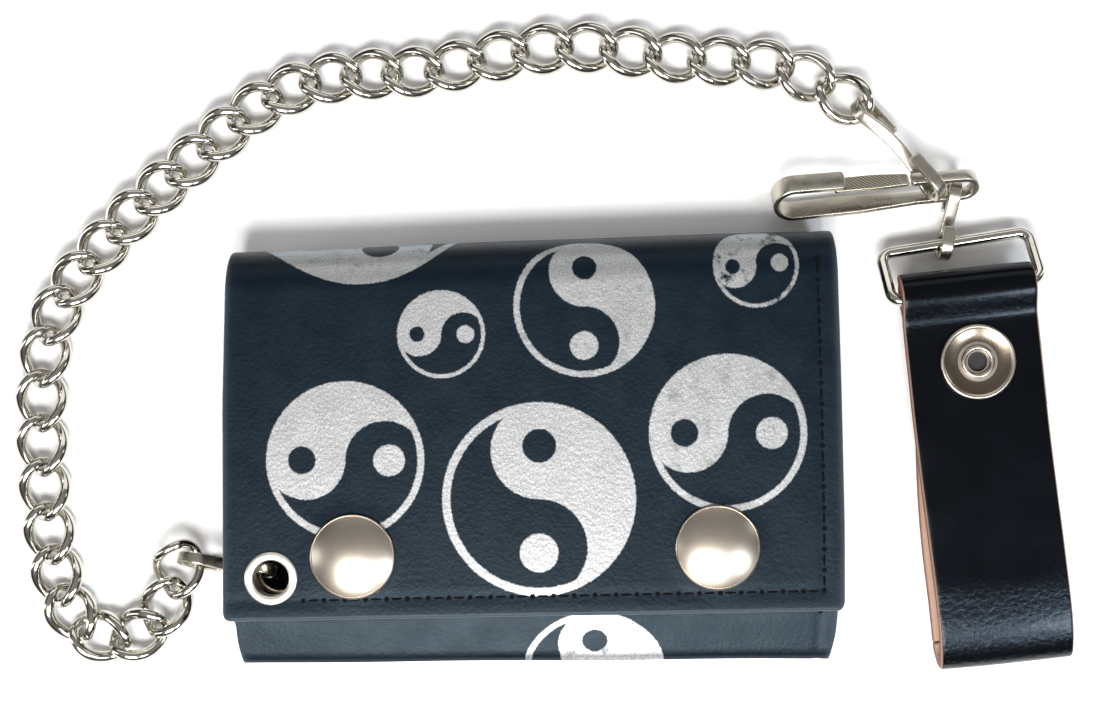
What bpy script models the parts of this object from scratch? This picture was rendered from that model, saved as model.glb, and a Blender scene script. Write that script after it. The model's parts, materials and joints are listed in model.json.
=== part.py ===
import math

import bmesh
import bpy
import numpy as np
from mathutils import Vector
from mathutils.geometry import tessellate_polygon

# Sizes are in millimetres here, and add_part turns them into metres.
MM = 0.001
GAP = 0.3

# Wallet: it lies on its back, with the flap's free edge towards -Y.
WALLET_WIDE = 107.5
WALLET_TALL = 73.6
LEATHER = 1.4
LINING = 0.8
FLAP_RISE = 7.3
FLAP_EDGE_Y = -0.5 * WALLET_TALL + FLAP_RISE
LOWER_SHORT = 29.6
LOWER_REACH = WALLET_TALL - LOWER_SHORT
CORNER = 3.0
INNER_LOW = 4.4
INNER_THICK = 0.9
INNER_INSET = 1.5
MARGIN = 2.6
POCKET_TALL = 1.1
POCKET_SHEET = 0.5
LOWER_LINING_LOW = 7.6
SNAP_ROOM = 2.8

# Snaps, the same on the flap and on the belt strap.
SNAP_INSET = 21.65
SNAP_RISE = 11.9
SNAP_X = 0.5 * WALLET_WIDE - SNAP_INSET
SNAP_Y = FLAP_EDGE_Y + SNAP_RISE
CAP_RADIUS = 7.5
CAP_TALL = 2.7
SOCKET_RADIUS = 5.2
POST_RADIUS = 6.75
STUD_RADIUS = 4.5
STUD_HEAD = 2.3
STEM = 1.3
STEM_HOLE = 1.9

# Eyelets.
EYELET_INSET = 7.95
EYELET_RISE = 6.9
EYELET_X = -0.5 * WALLET_WIDE + EYELET_INSET
EYELET_Y = FLAP_EDGE_Y + EYELET_RISE
EYELET_HOLE = 3.15
EYELET_WALL = 0.5
EYELET_FLANGE = 4.7
FLANGE_THICK = 0.45

# Strip S-hooks.
HOOK_RADIUS = 2.75
CHAIN_HOOK_LINK_ROLL = math.radians(126.0)
CHAIN_HOOK_CLIP_ROLL = math.radians(81.0)
HOOK_WIDE = 2.2
HOOK_THICK = 1.1
SMALL_HOOK_RADIUS = 2.5
SMALL_HOOK_WIDE = 2.2
SMALL_HOOK_THICK = 1.0
HOOK_TAIL = 0.35
WALLET_HOOK_ROLL = math.radians(75.0)
EYELET_SLACK = 0.45
LINK_SLACK = -0.2
BEND_IN = 0.8
WALLET_HOOK_RADIUS = 3.15
WALLET_HOOK_LIFT = 0.95

# What lies beside the wallet was laid out around these edges, and moves with the wallet's own.
LAID_EDGE = (53.75, 36.8)

# Curb chain: twisted oval links along a hand-chosen route on the table.
LINKS = 33
LINK_TO_STEP = 1.5372
LINK_WIDE = 8.8
WIRE = 1.75
LINK_TWIST = math.radians(45.0)
ROUTE_START = (-63.7, -18.6)
START_LIFT = 2.3
END_LIFT = 1.3
ROUTE = [
    (-65.6, -25.5), (-67.6, -31.6), (-72.8, -35.4), (-79.2, -35.4), (-84.4, -31.6), (-86.6, -25.0),
    (-88.6, -14.0), (-89.4, -4.0), (-89.7, 6.0), (-89.3, 16.0), (-87.0, 25.0), (-82.0, 32.5),
    (-75.4, 39.8), (-68.1, 47.1), (-59.9, 54.0), (-50.8, 61.7), (-40.7, 66.5), (-29.8, 67.9),
    (-18.8, 68.3), (-7.9, 70.8), (2.7, 72.7), (14.1, 72.5), (26.8, 70.5), (37.8, 70.1), (46.9, 69.0),
    (54.0, 65.4), (60.0, 61.2),
]
# Links that lie stretched out take a full step, the bunched ones a shorter one.
STRETCHED = set(range(7, 12)) | set(range(24, 34))
BUNCHED_STEP = 0.93

# Clip: a strip bent into a hook with an eye, lying on its side.
CLIP_LEFT = (43.3, 44.7)
CLIP_LONG = 37.5
CLIP_TURN = math.radians(4.5)
CLIP_ROLL = math.radians(50.0)
CLIP_THICK = 1.0
CLIP_BEND = 3.4
CLIP_EYE = 2.3
CLIP_WIDE = 4.2
CLIP_EYE_WIDE = 2.6
CLIP_TIP = 13.0
GATE_THICK = 0.8
GATE_ROOT = 24.6
CHAIN_SEAT = 27.8
RING_SEAT = 33.0
SEAT_PLAY = 1.2
CLIP_LIFT = 0.6

# Rectangular ring and belt strap.
RING_LONG = 27.1
RING_TALL = 10.0
RING_WIRE = 2.1
RING_CORNER = 2.0
RING_TURN = math.radians(9.0)
RING_HOOK_OFFSET = -1.6
BAR = (77.9, 28.2, 8.15)
RING_RISE = 4.5
RING_ROOM = 3.1
STRAP_WIDE = RING_LONG - RING_ROOM
STRAP_THICK = 1.9
STRAP_TURN = math.radians(6.0)
STRAP_LONG = 68.0
STRAP_SNAP = 12.9
STRAP_TURNED_END = 22.0
STRAP_BULB = 3.15
BULB_RUN = 5.8
TAIL_LOW = 2.0
STRAP_ROOM = 2.2
TAIL_TIP = 5.5
STRAP_FOLD_TALL = 9.0

ROUND_STEPS = 20


def material(name, colour, metallic, roughness):
    made = bpy.data.materials.new(name)
    made.use_nodes = True
    shader = made.node_tree.nodes["Principled BSDF"]
    shader.inputs["Base Color"].default_value = (*colour, 1.0)
    shader.inputs["Metallic"].default_value = metallic
    shader.inputs["Roughness"].default_value = roughness
    return made


SHELL = material("shell_leather", (0.012, 0.015, 0.02), 0.0, 0.45)
LINER = material("lining_leather", (0.02, 0.018, 0.017), 0.0, 0.7)
STRAP = material("strap_leather", (0.01, 0.01, 0.012), 0.0, 0.3)
NICKEL = material("nickel", (0.72, 0.71, 0.69), 1.0, 0.2)


def add_part(name, points, faces, paint):
    mesh = bpy.data.meshes.new(name)
    mesh.from_pydata([tuple(MM * c for c in p) for p in points], [], faces)
    shell = bmesh.new()
    shell.from_mesh(mesh)
    bmesh.ops.recalc_face_normals(shell, faces=shell.faces)
    bmesh.ops.triangulate(shell, faces=shell.faces)
    shell.to_mesh(mesh)
    shell.free()
    mesh.materials.append(paint)
    made = bpy.data.objects.new(name, mesh)
    bpy.context.collection.objects.link(made)
    return made


def circle(x, y, radius, steps=ROUND_STEPS):
    turns = [2.0 * math.pi * i / steps for i in range(steps)]
    return [(x + radius * math.cos(t), y + radius * math.sin(t)) for t in turns]


def rounded_box(low, high, bottom_corner=0.0, top_corner=0.0, steps=5):
    # Outline counter-clockwise from the lower left corner.
    corners = [
        (low[0], low[1], 1, 1, bottom_corner, 180.0),
        (high[0], low[1], -1, 1, bottom_corner, 270.0),
        (high[0], high[1], -1, -1, top_corner, 0.0),
        (low[0], high[1], 1, -1, top_corner, 90.0),
    ]
    outline = []
    for x, y, inward_x, inward_y, radius, start in corners:
        if radius == 0.0:
            outline.append((x, y))
            continue
        for i in range(steps + 1):
            turn = math.radians(start + 90.0 * i / steps)
            outline.append((
                x + inward_x * radius + radius * math.cos(turn),
                y + inward_y * radius + radius * math.sin(turn),
            ))
    return outline


def plate(name, outline, holes, low, high, paint):
    # A flat sheet of the given outline with holes cut right through it.
    loops = [outline] + holes
    flat = [p for loop in loops for p in loop]
    count = len(flat)
    points = [(x, y, low) for x, y in flat] + [(x, y, high) for x, y in flat]
    tops = tessellate_polygon([[Vector((x, y, 0.0)) for x, y in loop] for loop in loops])
    faces = [tuple(i + count for i in t) for t in tops]
    faces += [tuple(reversed(t)) for t in tops]
    start = 0
    for loop in loops:
        size = len(loop)
        for i in range(size):
            a = start + i
            b = start + (i + 1) % size
            faces.append((a, b, b + count, a + count))
        start += size
    return add_part(name, points, faces, paint)


def lathe(name, profile, centre, paint, steps=ROUND_STEPS):
    # The profile is a closed outline of (radius, height) turned about the vertical.
    points = []
    rows = []
    for radius, height in profile:
        if radius == 0.0:
            rows.append([len(points)] * steps)
            points.append((centre[0], centre[1], height))
            continue
        rows.append(list(range(len(points), len(points) + steps)))
        points += [(x, y, height) for x, y in circle(centre[0], centre[1], radius, steps)]
    faces = []
    for i in range(len(rows)):
        low = rows[i]
        high = rows[(i + 1) % len(rows)]
        if low[0] == low[1] and high[0] == high[1]:
            continue
        for k in range(steps):
            n = (k + 1) % steps
            corners = [low[k], low[n], high[n], high[k]]
            faces.append(tuple(dict.fromkeys(corners)))
    return add_part(name, points, faces, paint)


def unit(v):
    return v / np.linalg.norm(v, axis=-1, keepdims=True)


def strip(name, path, across, wide, thick, paint):
    # A flat strip along an open path. Its width runs along across, its thickness square to both.
    path = np.array(path)
    across = np.broadcast_to(np.array(across), path.shape)
    wide = np.broadcast_to(np.array(wide), len(path))[:, None]
    along = unit(np.gradient(path, axis=0))
    across = unit(across - along * np.sum(across * along, axis=1)[:, None])
    outward = np.cross(along, across)
    half = 0.5 * wide * across
    lift = 0.5 * thick * outward
    rows = np.stack([path - half - lift, path + half - lift, path + half + lift, path - half + lift], axis=1)
    points = rows.reshape(-1, 3)
    faces = [(3, 2, 1, 0), tuple(len(points) - 4 + i for i in range(4))]
    for i in range(len(path) - 1):
        for k in range(4):
            n = (k + 1) % 4
            faces.append((4 * i + k, 4 * i + n, 4 * i + 4 + n, 4 * i + 4 + k))
    return add_part(name, points, faces, paint)


def wire_loop(name, path, middle, radius, sides, paint):
    # A round wire along a closed path. Each ring is set out from the loop's middle.
    path = np.array(path)
    count = len(path)
    along = unit(np.roll(path, -1, axis=0) - np.roll(path, 1, axis=0))
    outward = path - np.array(middle)
    outward = unit(outward - along * np.sum(outward * along, axis=1)[:, None])
    beside = np.cross(along, outward)
    turns = 2.0 * np.pi * (np.arange(sides) + 0.5) / sides
    ring = np.cos(turns)[None, :, None] * outward[:, None] + np.sin(turns)[None, :, None] * beside[:, None]
    points = (path[:, None] + radius * ring).reshape(-1, 3)
    faces = []
    for i in range(count):
        j = (i + 1) % count
        for k in range(sides):
            n = (k + 1) % sides
            faces.append((sides * i + k, sides * i + n, sides * j + n, sides * j + k))
    return add_part(name, points, faces, paint)


def cut(target, cutter):
    step = target.modifiers.new("cut", "BOOLEAN")
    step.operation = "DIFFERENCE"
    step.solver = "EXACT"
    step.object = cutter
    depsgraph = bpy.context.evaluated_depsgraph_get()
    shaped = bpy.data.meshes.new_from_object(target.evaluated_get(depsgraph))
    target.modifiers.clear()
    target.data = shaped
    bpy.data.objects.remove(cutter)


def cut_box(target, low, high):
    cut(target, plate("cutter", rounded_box(low, high), [], low[2], high[2], LINER))


def cut_round(target, centre, radius, low, high):
    cut(target, plate("cutter", circle(centre[0], centre[1], radius), [], low, high, LINER))


half_wide = 0.5 * WALLET_WIDE
lower_lining_high = LOWER_LINING_LOW + LINING
lower_low = lower_lining_high + GAP
lower_high = lower_low + LEATHER
flap_lining_low = lower_high + SNAP_ROOM
flap_lining_high = flap_lining_low + LINING
flap_low = flap_lining_high + GAP
flap_high = flap_low + LEATHER
top_radius = 0.5 * flap_high
bottom_radius = 0.5 * lower_high
top_axis_y = 0.5 * WALLET_TALL - top_radius
bottom_axis_y = -0.5 * WALLET_TALL + bottom_radius
inner_high = INNER_LOW + INNER_THICK


def fold(name, axis_y, radius, side, steps=12):
    # Half a tube of leather about an axis along X, open at the fold's inner side.
    path = []
    for i in range(steps + 1):
        turn = math.pi * (i / steps - 0.5)
        middle = radius - 0.5 * LEATHER
        path.append((0.0, axis_y + side * (GAP + middle * math.cos(turn)), radius + middle * math.sin(turn)))
    strip(name, path, (1.0, 0.0, 0.0), WALLET_WIDE, LEATHER, SHELL)


def wallet():
    plate("back_panel", rounded_box((-half_wide, bottom_axis_y), (half_wide, top_axis_y)), [], 0.0, LEATHER, SHELL)
    fold("top_fold", top_axis_y, top_radius, 1.0)
    fold("bottom_fold", bottom_axis_y, bottom_radius, -1.0)

    eyelet_cut = EYELET_HOLE + EYELET_WALL + GAP
    snaps = [circle(side * SNAP_X, SNAP_Y, STEM_HOLE) for side in (-1.0, 1.0)]
    eyelet = circle(EYELET_X, EYELET_Y, eyelet_cut)
    flap_outline = rounded_box((-half_wide, FLAP_EDGE_Y), (half_wide, top_axis_y), bottom_corner=CORNER)
    plate("flap_outer", flap_outline, snaps + [eyelet], flap_low, flap_high, SHELL)
    lining_outline = rounded_box(
        (-half_wide + 1.0, FLAP_EDGE_Y + 1.0), (half_wide - 1.0, top_axis_y - 1.0), bottom_corner=CORNER - 1.0)
    plate("flap_lining", lining_outline, snaps + [eyelet], flap_lining_low, flap_lining_high, LINER)

    # The lower panel is cut away at its left edge, where the S-hook leaves.
    lower_top = bottom_axis_y + LOWER_REACH
    notch_right = EYELET_X + EYELET_FLANGE + 1.2
    notch_low = EYELET_Y - EYELET_FLANGE - 0.6
    notch_high = EYELET_Y + EYELET_FLANGE + 3.0
    for name, inset, low, high, paint in (
        ("lower_outer", 0.0, lower_low, lower_high, SHELL),
        ("lower_lining", 1.0, LOWER_LINING_LOW, lower_lining_high, LINER),
    ):
        body = rounded_box((-half_wide + inset, bottom_axis_y + inset), (half_wide - inset, lower_top - inset),
                           top_corner=CORNER)
        left = -half_wide + inset
        body += [(left, notch_high), (notch_right, notch_high), (notch_right, notch_low), (left, notch_low)]
        plate(name, body, snaps, low, high, paint)

    inner_wide = half_wide - INNER_INSET
    inner_bottom = bottom_axis_y + INNER_INSET
    inner_top = top_axis_y - INNER_INSET
    inner = plate("inner_panel", rounded_box((-inner_wide, inner_bottom), (inner_wide, inner_top)), [eyelet],
                  LEATHER + GAP, inner_high, LINER)
    cut_box(inner, (-inner_wide - 1.0, inner_bottom + MARGIN, 0.0),
            (inner_wide - MARGIN, inner_top - MARGIN, INNER_LOW))

    pocket_low = inner_high + GAP
    pocket_left = EYELET_X + EYELET_FLANGE + 2.0
    pocket_right = inner_wide - 2.0
    pocket_bottom = inner_bottom + 4.0
    pocket_top = 14.0
    pocket = plate("card_pocket", rounded_box((pocket_left, pocket_bottom), (pocket_right, pocket_top)), [],
                   pocket_low, pocket_low + POCKET_TALL, LINER)
    cut_box(pocket, (pocket_left + MARGIN, pocket_bottom + MARGIN, 0.0),
            (pocket_right - MARGIN, pocket_top + 1.0, pocket_low + POCKET_TALL - POCKET_SHEET))


def cap_profile(base, stem_end, up, steps=6):
    # A domed cap whose stem runs through the leather, drawn along up from its base.
    profile = [(0.0, stem_end), (STEM, stem_end), (STEM, base), (CAP_RADIUS - 0.5, base)]
    for i in range(steps):
        turn = 0.5 * math.pi * i / steps
        profile.append((CAP_RADIUS * math.cos(turn), base + up * (0.5 + (CAP_TALL - 0.5) * math.sin(turn))))
    profile.append((0.0, base + up * CAP_TALL))
    return profile


def socket_profile(base, away, room):
    # A flange on the lining with a rim around the stud's head.
    rim_low = base + away * (room - 0.85)
    floor = base + away * 0.5
    return [
        (STEM + GAP, base), (SOCKET_RADIUS, base), (SOCKET_RADIUS, floor), (STUD_HEAD + 1.5, floor),
        (STUD_HEAD + 1.5, rim_low), (STUD_HEAD + 0.5, rim_low), (STUD_HEAD + 0.5, floor), (STEM + GAP, floor),
    ]


def stud_profile(face, back, towards, tall):
    # Flange, head, stem through the leather and the post's flange behind it.
    seat = face + towards * 0.15
    top = seat + towards * 0.35
    rear = back - towards * 0.15
    return [
        (0.0, top + towards * tall), (STUD_HEAD - 0.4, top + towards * tall), (STUD_HEAD, top + towards * 0.7 * tall),
        (STUD_HEAD - 0.3, top), (STUD_RADIUS, top), (STUD_RADIUS, seat), (STEM, seat), (STEM, rear),
        (STUD_RADIUS - 0.6, rear), (STUD_RADIUS - 0.6, rear - towards * 0.4), (0.0, rear - towards * 0.4),
    ]


def eyelet_profile(low, high):
    # A barrel with a flange above and a flange below the leather.
    outer = EYELET_HOLE + EYELET_WALL
    under = low - 0.15
    over = high + 0.15
    return [
        (EYELET_HOLE, under - FLANGE_THICK), (EYELET_FLANGE - 0.3, under - FLANGE_THICK), (EYELET_FLANGE, under),
        (outer, under), (outer, over), (EYELET_FLANGE, over), (EYELET_FLANGE - 0.5, over + FLANGE_THICK),
        (EYELET_HOLE + 0.3, over + FLANGE_THICK), (EYELET_HOLE, over + 0.2),
    ]


def snaps_and_eyelets():
    head_tall = SNAP_ROOM - 1.3
    for side, x in (("left", -SNAP_X), ("right", SNAP_X)):
        place = (x, SNAP_Y)
        lathe(side + "_snap_cap", cap_profile(flap_high + 0.15, flap_lining_low - 0.65, 1.0), place, NICKEL)
        lathe(side + "_snap_socket", socket_profile(flap_lining_low - 0.15, -1.0, SNAP_ROOM), place, NICKEL)
        lathe(side + "_snap_stud", stud_profile(lower_high, LOWER_LINING_LOW, 1.0, head_tall), place, NICKEL)
    lathe("flap_grommet", eyelet_profile(flap_lining_low, flap_high), (EYELET_X, EYELET_Y), NICKEL)
    lathe("body_grommet", eyelet_profile(INNER_LOW, inner_high), (EYELET_X, EYELET_Y), NICKEL)


def s_hook(name, start, end, radius, wide, thick, start_roll, end_roll, arc_steps=10):
    # An S whose two bends turn about the start and end points. A roll of 0 lays that bend flat.
    start = np.array(start)
    end = np.array(end)
    reach = 0.5 * np.linalg.norm(end - start)
    along = unit(end - start)
    level = unit(np.cross((0.0, 0.0, 1.0), along))
    upright = np.cross(along, level)
    lean = math.asin(radius / reach)
    flat = [(HOOK_TAIL * reach, radius)]
    for i in range(arc_steps + 1):
        turn = 0.5 * math.pi - (math.pi + lean) * i / arc_steps
        flat.append((reach + radius * math.cos(turn), radius * math.sin(turn)))
    half = np.array(flat)
    # Only the straight stretch between the two bends twists.
    middle = []
    for share in (0.2, 0.4, 0.6, 0.8):
        middle.append(half[-1] * (1.0 - share) - half[-1] * share)
    flat = np.concatenate([half, middle, -half[::-1]])
    shares = np.concatenate([np.zeros(len(half)), (0.2, 0.4, 0.6, 0.8), np.ones(len(half))])
    roll = end_roll + (start_roll - end_roll) * shares
    sideways = np.cos(roll)[:, None] * level + np.sin(roll)[:, None] * upright
    path = 0.5 * (start + end) + flat[:, :1] * along + flat[:, 1:] * sideways
    strip(name, path, np.cross(along, sideways), wide, thick, NICKEL)


def beside(x, y):
    # A point of the layout, moved out or in with the wallet's nearest edges.
    wider = (0.5 * WALLET_WIDE - LAID_EDGE[0]) * min(max(x / LAID_EDGE[0], -1.0), 1.0)
    taller = (0.5 * WALLET_TALL - LAID_EDGE[1]) * min(max(y / LAID_EDGE[1], -1.0), 1.0)
    return x + wider, y + taller


def link_path(segments=18):
    # An oval in the link's own plane, rolled about its long axis in proportion to x.
    turns = 2.0 * np.pi * np.arange(segments) / segments
    x = 0.5 * (link_long - WIRE) * np.cos(turns)
    across = 0.5 * (LINK_WIDE - WIRE) * np.sin(turns)
    roll = LINK_TWIST * np.cos(turns)
    return np.stack([x, across * np.cos(roll), across * np.sin(roll)], axis=1)


def smooth_route(points, samples=24):
    # A Catmull-Rom curve through the route's points, finely sampled.
    points = np.array(points, dtype=float)
    padded = np.concatenate([2.0 * points[:1] - points[1:2], points, 2.0 * points[-1:] - points[-2:-1]])
    curve = []
    for i in range(len(points) - 1):
        a, b, c, d = padded[i:i + 4]
        for t in np.arange(samples) / samples:
            curve.append(0.5 * (2.0 * b + (c - a) * t + (2.0 * a - 5.0 * b + 4.0 * c - d) * t ** 2
                                + (3.0 * b - a - 3.0 * c + d) * t ** 3))
    curve.append(points[-1])
    return np.array(curve)


route_curve = smooth_route([beside(x, y) for x, y in [ROUTE_START] + ROUTE])
route_run = np.concatenate([[0.0], np.cumsum(np.linalg.norm(np.diff(route_curve, axis=0), axis=1))])
link_long = LINK_TO_STEP * route_run[-1] / LINKS


def chain_crossings(height):
    # Points where neighbouring links cross, spread along the route by each link's step.
    steps = [1.0 if k in STRETCHED else BUNCHED_STEP for k in range(1, LINKS + 1)]
    marks = np.concatenate([[0.0], np.cumsum(steps)]) / sum(steps) * route_run[-1]
    lifts = np.full(LINKS + 1, height)
    lifts[0] += START_LIFT
    lifts[-1] += END_LIFT
    across = np.interp(marks, route_run, route_curve[:, 0])
    along = np.interp(marks, route_run, route_curve[:, 1])
    return np.stack([across, along, lifts], axis=1)


def chain(crossings):
    # Each link lies along the line between two crossings, and the middle of each is its own centre.
    shape = link_path()
    for k in range(LINKS):
        forward = unit(crossings[k + 1] - crossings[k])
        level = unit(np.cross((0.0, 0.0, 1.0), forward))
        turn = np.stack([forward, level, np.cross(forward, level)])
        middle = 0.5 * (crossings[k] + crossings[k + 1])
        wire_loop(f"chain_link_{k + 1:02d}", shape @ turn + middle, middle, 0.5 * WIRE, 6, NICKEL)


def end_bow(crossings, near, far):
    # The middle of the wire at the end of a link that lies from far to near.
    middle = 0.5 * (crossings[near] + crossings[far])
    return middle + 0.5 * (link_long - WIRE) * unit(crossings[near] - crossings[far])


def clip_axes():
    along = np.array([math.cos(CLIP_TURN), math.sin(CLIP_TURN), 0.0])
    level = np.array([-along[1], along[0], 0.0])
    upright = np.array([0.0, 0.0, 1.0])
    over = math.cos(CLIP_ROLL) * level + math.sin(CLIP_ROLL) * upright
    through = -math.sin(CLIP_ROLL) * level + math.cos(CLIP_ROLL) * upright
    low = (CLIP_BEND + 0.5 * CLIP_THICK) * math.sin(CLIP_ROLL) + 0.5 * CLIP_WIDE * math.cos(CLIP_ROLL)
    origin = np.array([*beside(*CLIP_LEFT), low + CLIP_LIFT])
    return origin, along, over, through


def clip_point(u, v):
    origin, along, over, through = clip_axes()
    return origin + u * along + v * over


def clip(steps=10):
    origin, along, over, through = clip_axes()
    left = CLIP_BEND + 0.5 * CLIP_THICK
    right = CLIP_LONG - CLIP_EYE - 0.5 * CLIP_THICK
    flat = [(CLIP_TIP, CLIP_BEND)]
    for i in range(steps + 1):
        turn = math.radians(90.0 + 180.0 * i / steps)
        flat.append((left + CLIP_BEND * math.cos(turn), CLIP_BEND * math.sin(turn)))
    for i in range(steps + 1):
        turn = math.radians(-90.0 + 180.0 * i / steps)
        flat.append((right + CLIP_EYE * math.cos(turn), CLIP_EYE * math.sin(turn)))
    flat.append((GATE_ROOT + GAP, CLIP_EYE))
    flat = np.array(flat)
    wide = CLIP_WIDE + (CLIP_EYE_WIDE - CLIP_WIDE) * np.clip((flat[:, 0] - 16.0) / 10.0, 0.0, 1.0)
    path = origin + flat[:, :1] * along + flat[:, 1:] * over
    strip("clip_body", path, through, wide, CLIP_THICK, NICKEL)
    # The gate is a leaf from the eye's arm to the inner side of the hook's tip.
    tip = (CLIP_TIP - 2.0, CLIP_BEND - 0.5 * CLIP_THICK - GAP - 0.5 * GATE_THICK)
    gate = np.array([(GATE_ROOT, CLIP_EYE), (0.5 * (GATE_ROOT + tip[0]), 0.5 * (CLIP_EYE + tip[1]) + 0.1), tip])
    strip("clip_gate", origin + gate[:, :1] * along + gate[:, 1:] * over, through,
          [CLIP_EYE_WIDE, 3.4, 3.4], GATE_THICK, NICKEL)


def ring_axes():
    along = np.array([math.cos(RING_TURN), math.sin(RING_TURN), 0.0])
    level = np.array([-along[1], along[0], 0.0])
    run = math.sqrt(RING_TALL ** 2 - RING_RISE ** 2)
    up = (run * level - np.array([0.0, 0.0, RING_RISE])) / RING_TALL
    return np.array([*beside(*BAR[:2]), BAR[2]]), along, up


def ring_point(u, v):
    origin, along, up = ring_axes()
    return origin + u * along + v * up


def ring():
    outline = rounded_box((-0.5 * RING_LONG, 0.0), (0.5 * RING_LONG, RING_TALL), RING_CORNER, RING_CORNER)
    middle = ring_point(0.0, 0.5 * RING_TALL)
    wire_loop("strap_ring", [ring_point(u, v) for u, v in outline], middle, 0.5 * RING_WIRE, 8, NICKEL)


def strap_axes():
    across = np.array([math.cos(STRAP_TURN), math.sin(STRAP_TURN), 0.0])
    down = np.array([across[1], -across[0], 0.0])
    return np.array([*beside(*BAR[:2]), 0.0]), across, down


def strap_point(f, z):
    origin, across, down = strap_axes()
    return origin + f * down + np.array([0.0, 0.0, z])


def ease(share):
    share = min(max(share, 0.0), 1.0)
    return share * share * (3.0 - 2.0 * share)


tail_middle = TAIL_LOW + 0.5 * STRAP_THICK
turned_middle = tail_middle + STRAP_THICK + STRAP_ROOM
front_middle = turned_middle + STRAP_THICK + GAP
fold_radius = 0.5 * (STRAP_FOLD_TALL - STRAP_THICK)
fold_f = STRAP_LONG - 0.5 * STRAP_FOLD_TALL
fold_z = 0.5 * STRAP_FOLD_TALL


def strap(steps=12):
    origin, across, down = strap_axes()
    bulb_z = BAR[2]
    path = []
    for f in (STRAP_TURNED_END, *np.linspace(BULB_RUN, 0.0, 6)[:-1]):
        path.append((f, turned_middle + (bulb_z - STRAP_BULB - turned_middle) * ease(1.0 - f / BULB_RUN)))
    for i in range(steps + 1):
        turn = math.radians(270.0 - 180.0 * i / steps)
        path.append((STRAP_BULB * math.cos(turn), bulb_z + STRAP_BULB * math.sin(turn)))
    for f in (*np.linspace(0.0, BULB_RUN, 6)[1:], *np.linspace(BULB_RUN, fold_f, 10)[1:-1]):
        top = front_middle + (bulb_z + STRAP_BULB - front_middle) * ease(1.0 - f / BULB_RUN)
        path.append((f, top + (fold_z + fold_radius - front_middle) * ease((f - 40.0) / (fold_f - 40.0))))
    for i in range(steps + 1):
        turn = math.radians(90.0 - 180.0 * i / steps)
        path.append((fold_f + fold_radius * math.cos(turn), fold_z + fold_radius * math.sin(turn)))
    front = strip("belt_strap", [strap_point(f, z) for f, z in path], across, STRAP_WIDE, STRAP_THICK, STRAP)
    tail = []
    for f in np.linspace(fold_f - GAP, TAIL_TIP, 14):
        tail.append((f, 0.5 * STRAP_THICK + TAIL_LOW * ease((36.0 - f) / 14.0)))
    behind = strip("belt_strap_tail", [strap_point(f, z) for f, z in tail], across, STRAP_WIDE, STRAP_THICK, STRAP)
    place = strap_point(STRAP_SNAP, 0.0)
    for target in (front, behind):
        cut_round(target, place, STEM_HOLE, -5.0, 20.0)
    strap_snap(place)


def strap_snap(place):
    # The post's wide flange and small hole face up, and its stud points down into the socket.
    over = front_middle + 0.5 * STRAP_THICK + 0.15
    stud = stud_profile(turned_middle - 0.5 * STRAP_THICK, over + 0.15, -1.0, STRAP_ROOM - 1.3)[:8]
    stud[-1] = (STEM, over)
    stud += [
        (POST_RADIUS - 0.2, over), (POST_RADIUS, over + 0.3), (POST_RADIUS - 0.7, over + 0.8),
        (POST_RADIUS - 2.2, over + 0.95), (2.4, over + 0.6), (0.85, over + 0.5), (0.85, over - 0.9), (0.0, over - 0.9),
    ]
    lathe("strap_snap_stud", stud, place, NICKEL)
    base = TAIL_LOW - 0.15
    seat = TAIL_LOW + STRAP_THICK + 0.15
    floor = seat + 0.5
    rim = seat + STRAP_ROOM - 0.85
    cap = [(0.0, floor), (STUD_HEAD + 0.5, floor), (STUD_HEAD + 0.5, rim), (STUD_HEAD + 1.5, rim)]
    cap += [(STUD_HEAD + 1.5, floor), (SOCKET_RADIUS, floor), (SOCKET_RADIUS, seat), (STEM, seat), (STEM, base)]
    for i in range(6):
        turn = 0.5 * math.pi * i / 6
        cap.append((CAP_RADIUS * math.cos(turn), base - 0.3 - (base - 0.4) * math.sin(turn)))
    cap.insert(-6, (CAP_RADIUS, base))
    cap.append((0.0, 0.1))
    lathe("strap_snap_cap", cap, place, NICKEL)


def build():
    wallet()
    snaps_and_eyelets()
    table_height = np.abs(link_path(96)[:, 2]).max() + 0.5 * WIRE + 0.05
    crossings = chain_crossings(table_height)
    chain(crossings)

    # The first S-hook's bend stands in the first link's end, and its other bend in the inner eyelet.
    first_run = unit(crossings[1] - crossings[0])
    bend = end_bow(crossings, 0, 1) + (0.5 * HOOK_WIDE + 0.5 * WIRE + GAP + BEND_IN) * first_run
    eyelet = np.array([EYELET_X, EYELET_Y, LEATHER + GAP + WALLET_HOOK_RADIUS + WALLET_HOOK_LIFT])
    pull = unit(bend - eyelet)
    s_hook("wallet_s_hook", bend - (WALLET_HOOK_RADIUS - LINK_SLACK) * pull,
           eyelet + (WALLET_HOOK_RADIUS + EYELET_SLACK) * pull, WALLET_HOOK_RADIUS, HOOK_WIDE, HOOK_THICK,
           WALLET_HOOK_ROLL, WALLET_HOOK_ROLL)

    # The second holds the chain's last link and the eye's upper arm, the third its lower arm and the ring.
    clip()
    last_bow = end_bow(crossings, LINKS, LINKS - 1)
    upper_arm = clip_point(CHAIN_SEAT, CLIP_EYE)
    s_hook("chain_s_hook", last_bow, upper_arm + SEAT_PLAY * unit(upper_arm - last_bow), HOOK_RADIUS,
           HOOK_WIDE, HOOK_THICK, CHAIN_HOOK_LINK_ROLL, CHAIN_HOOK_CLIP_ROLL)
    ring()
    lower_arm = clip_point(RING_SEAT, -CLIP_EYE)
    top_bar = ring_point(RING_HOOK_OFFSET, RING_TALL)
    s_hook("ring_s_hook", lower_arm, top_bar, SMALL_HOOK_RADIUS,
           SMALL_HOOK_WIDE, SMALL_HOOK_THICK, 0.5 * math.pi, 0.5 * math.pi)
    strap()


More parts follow.
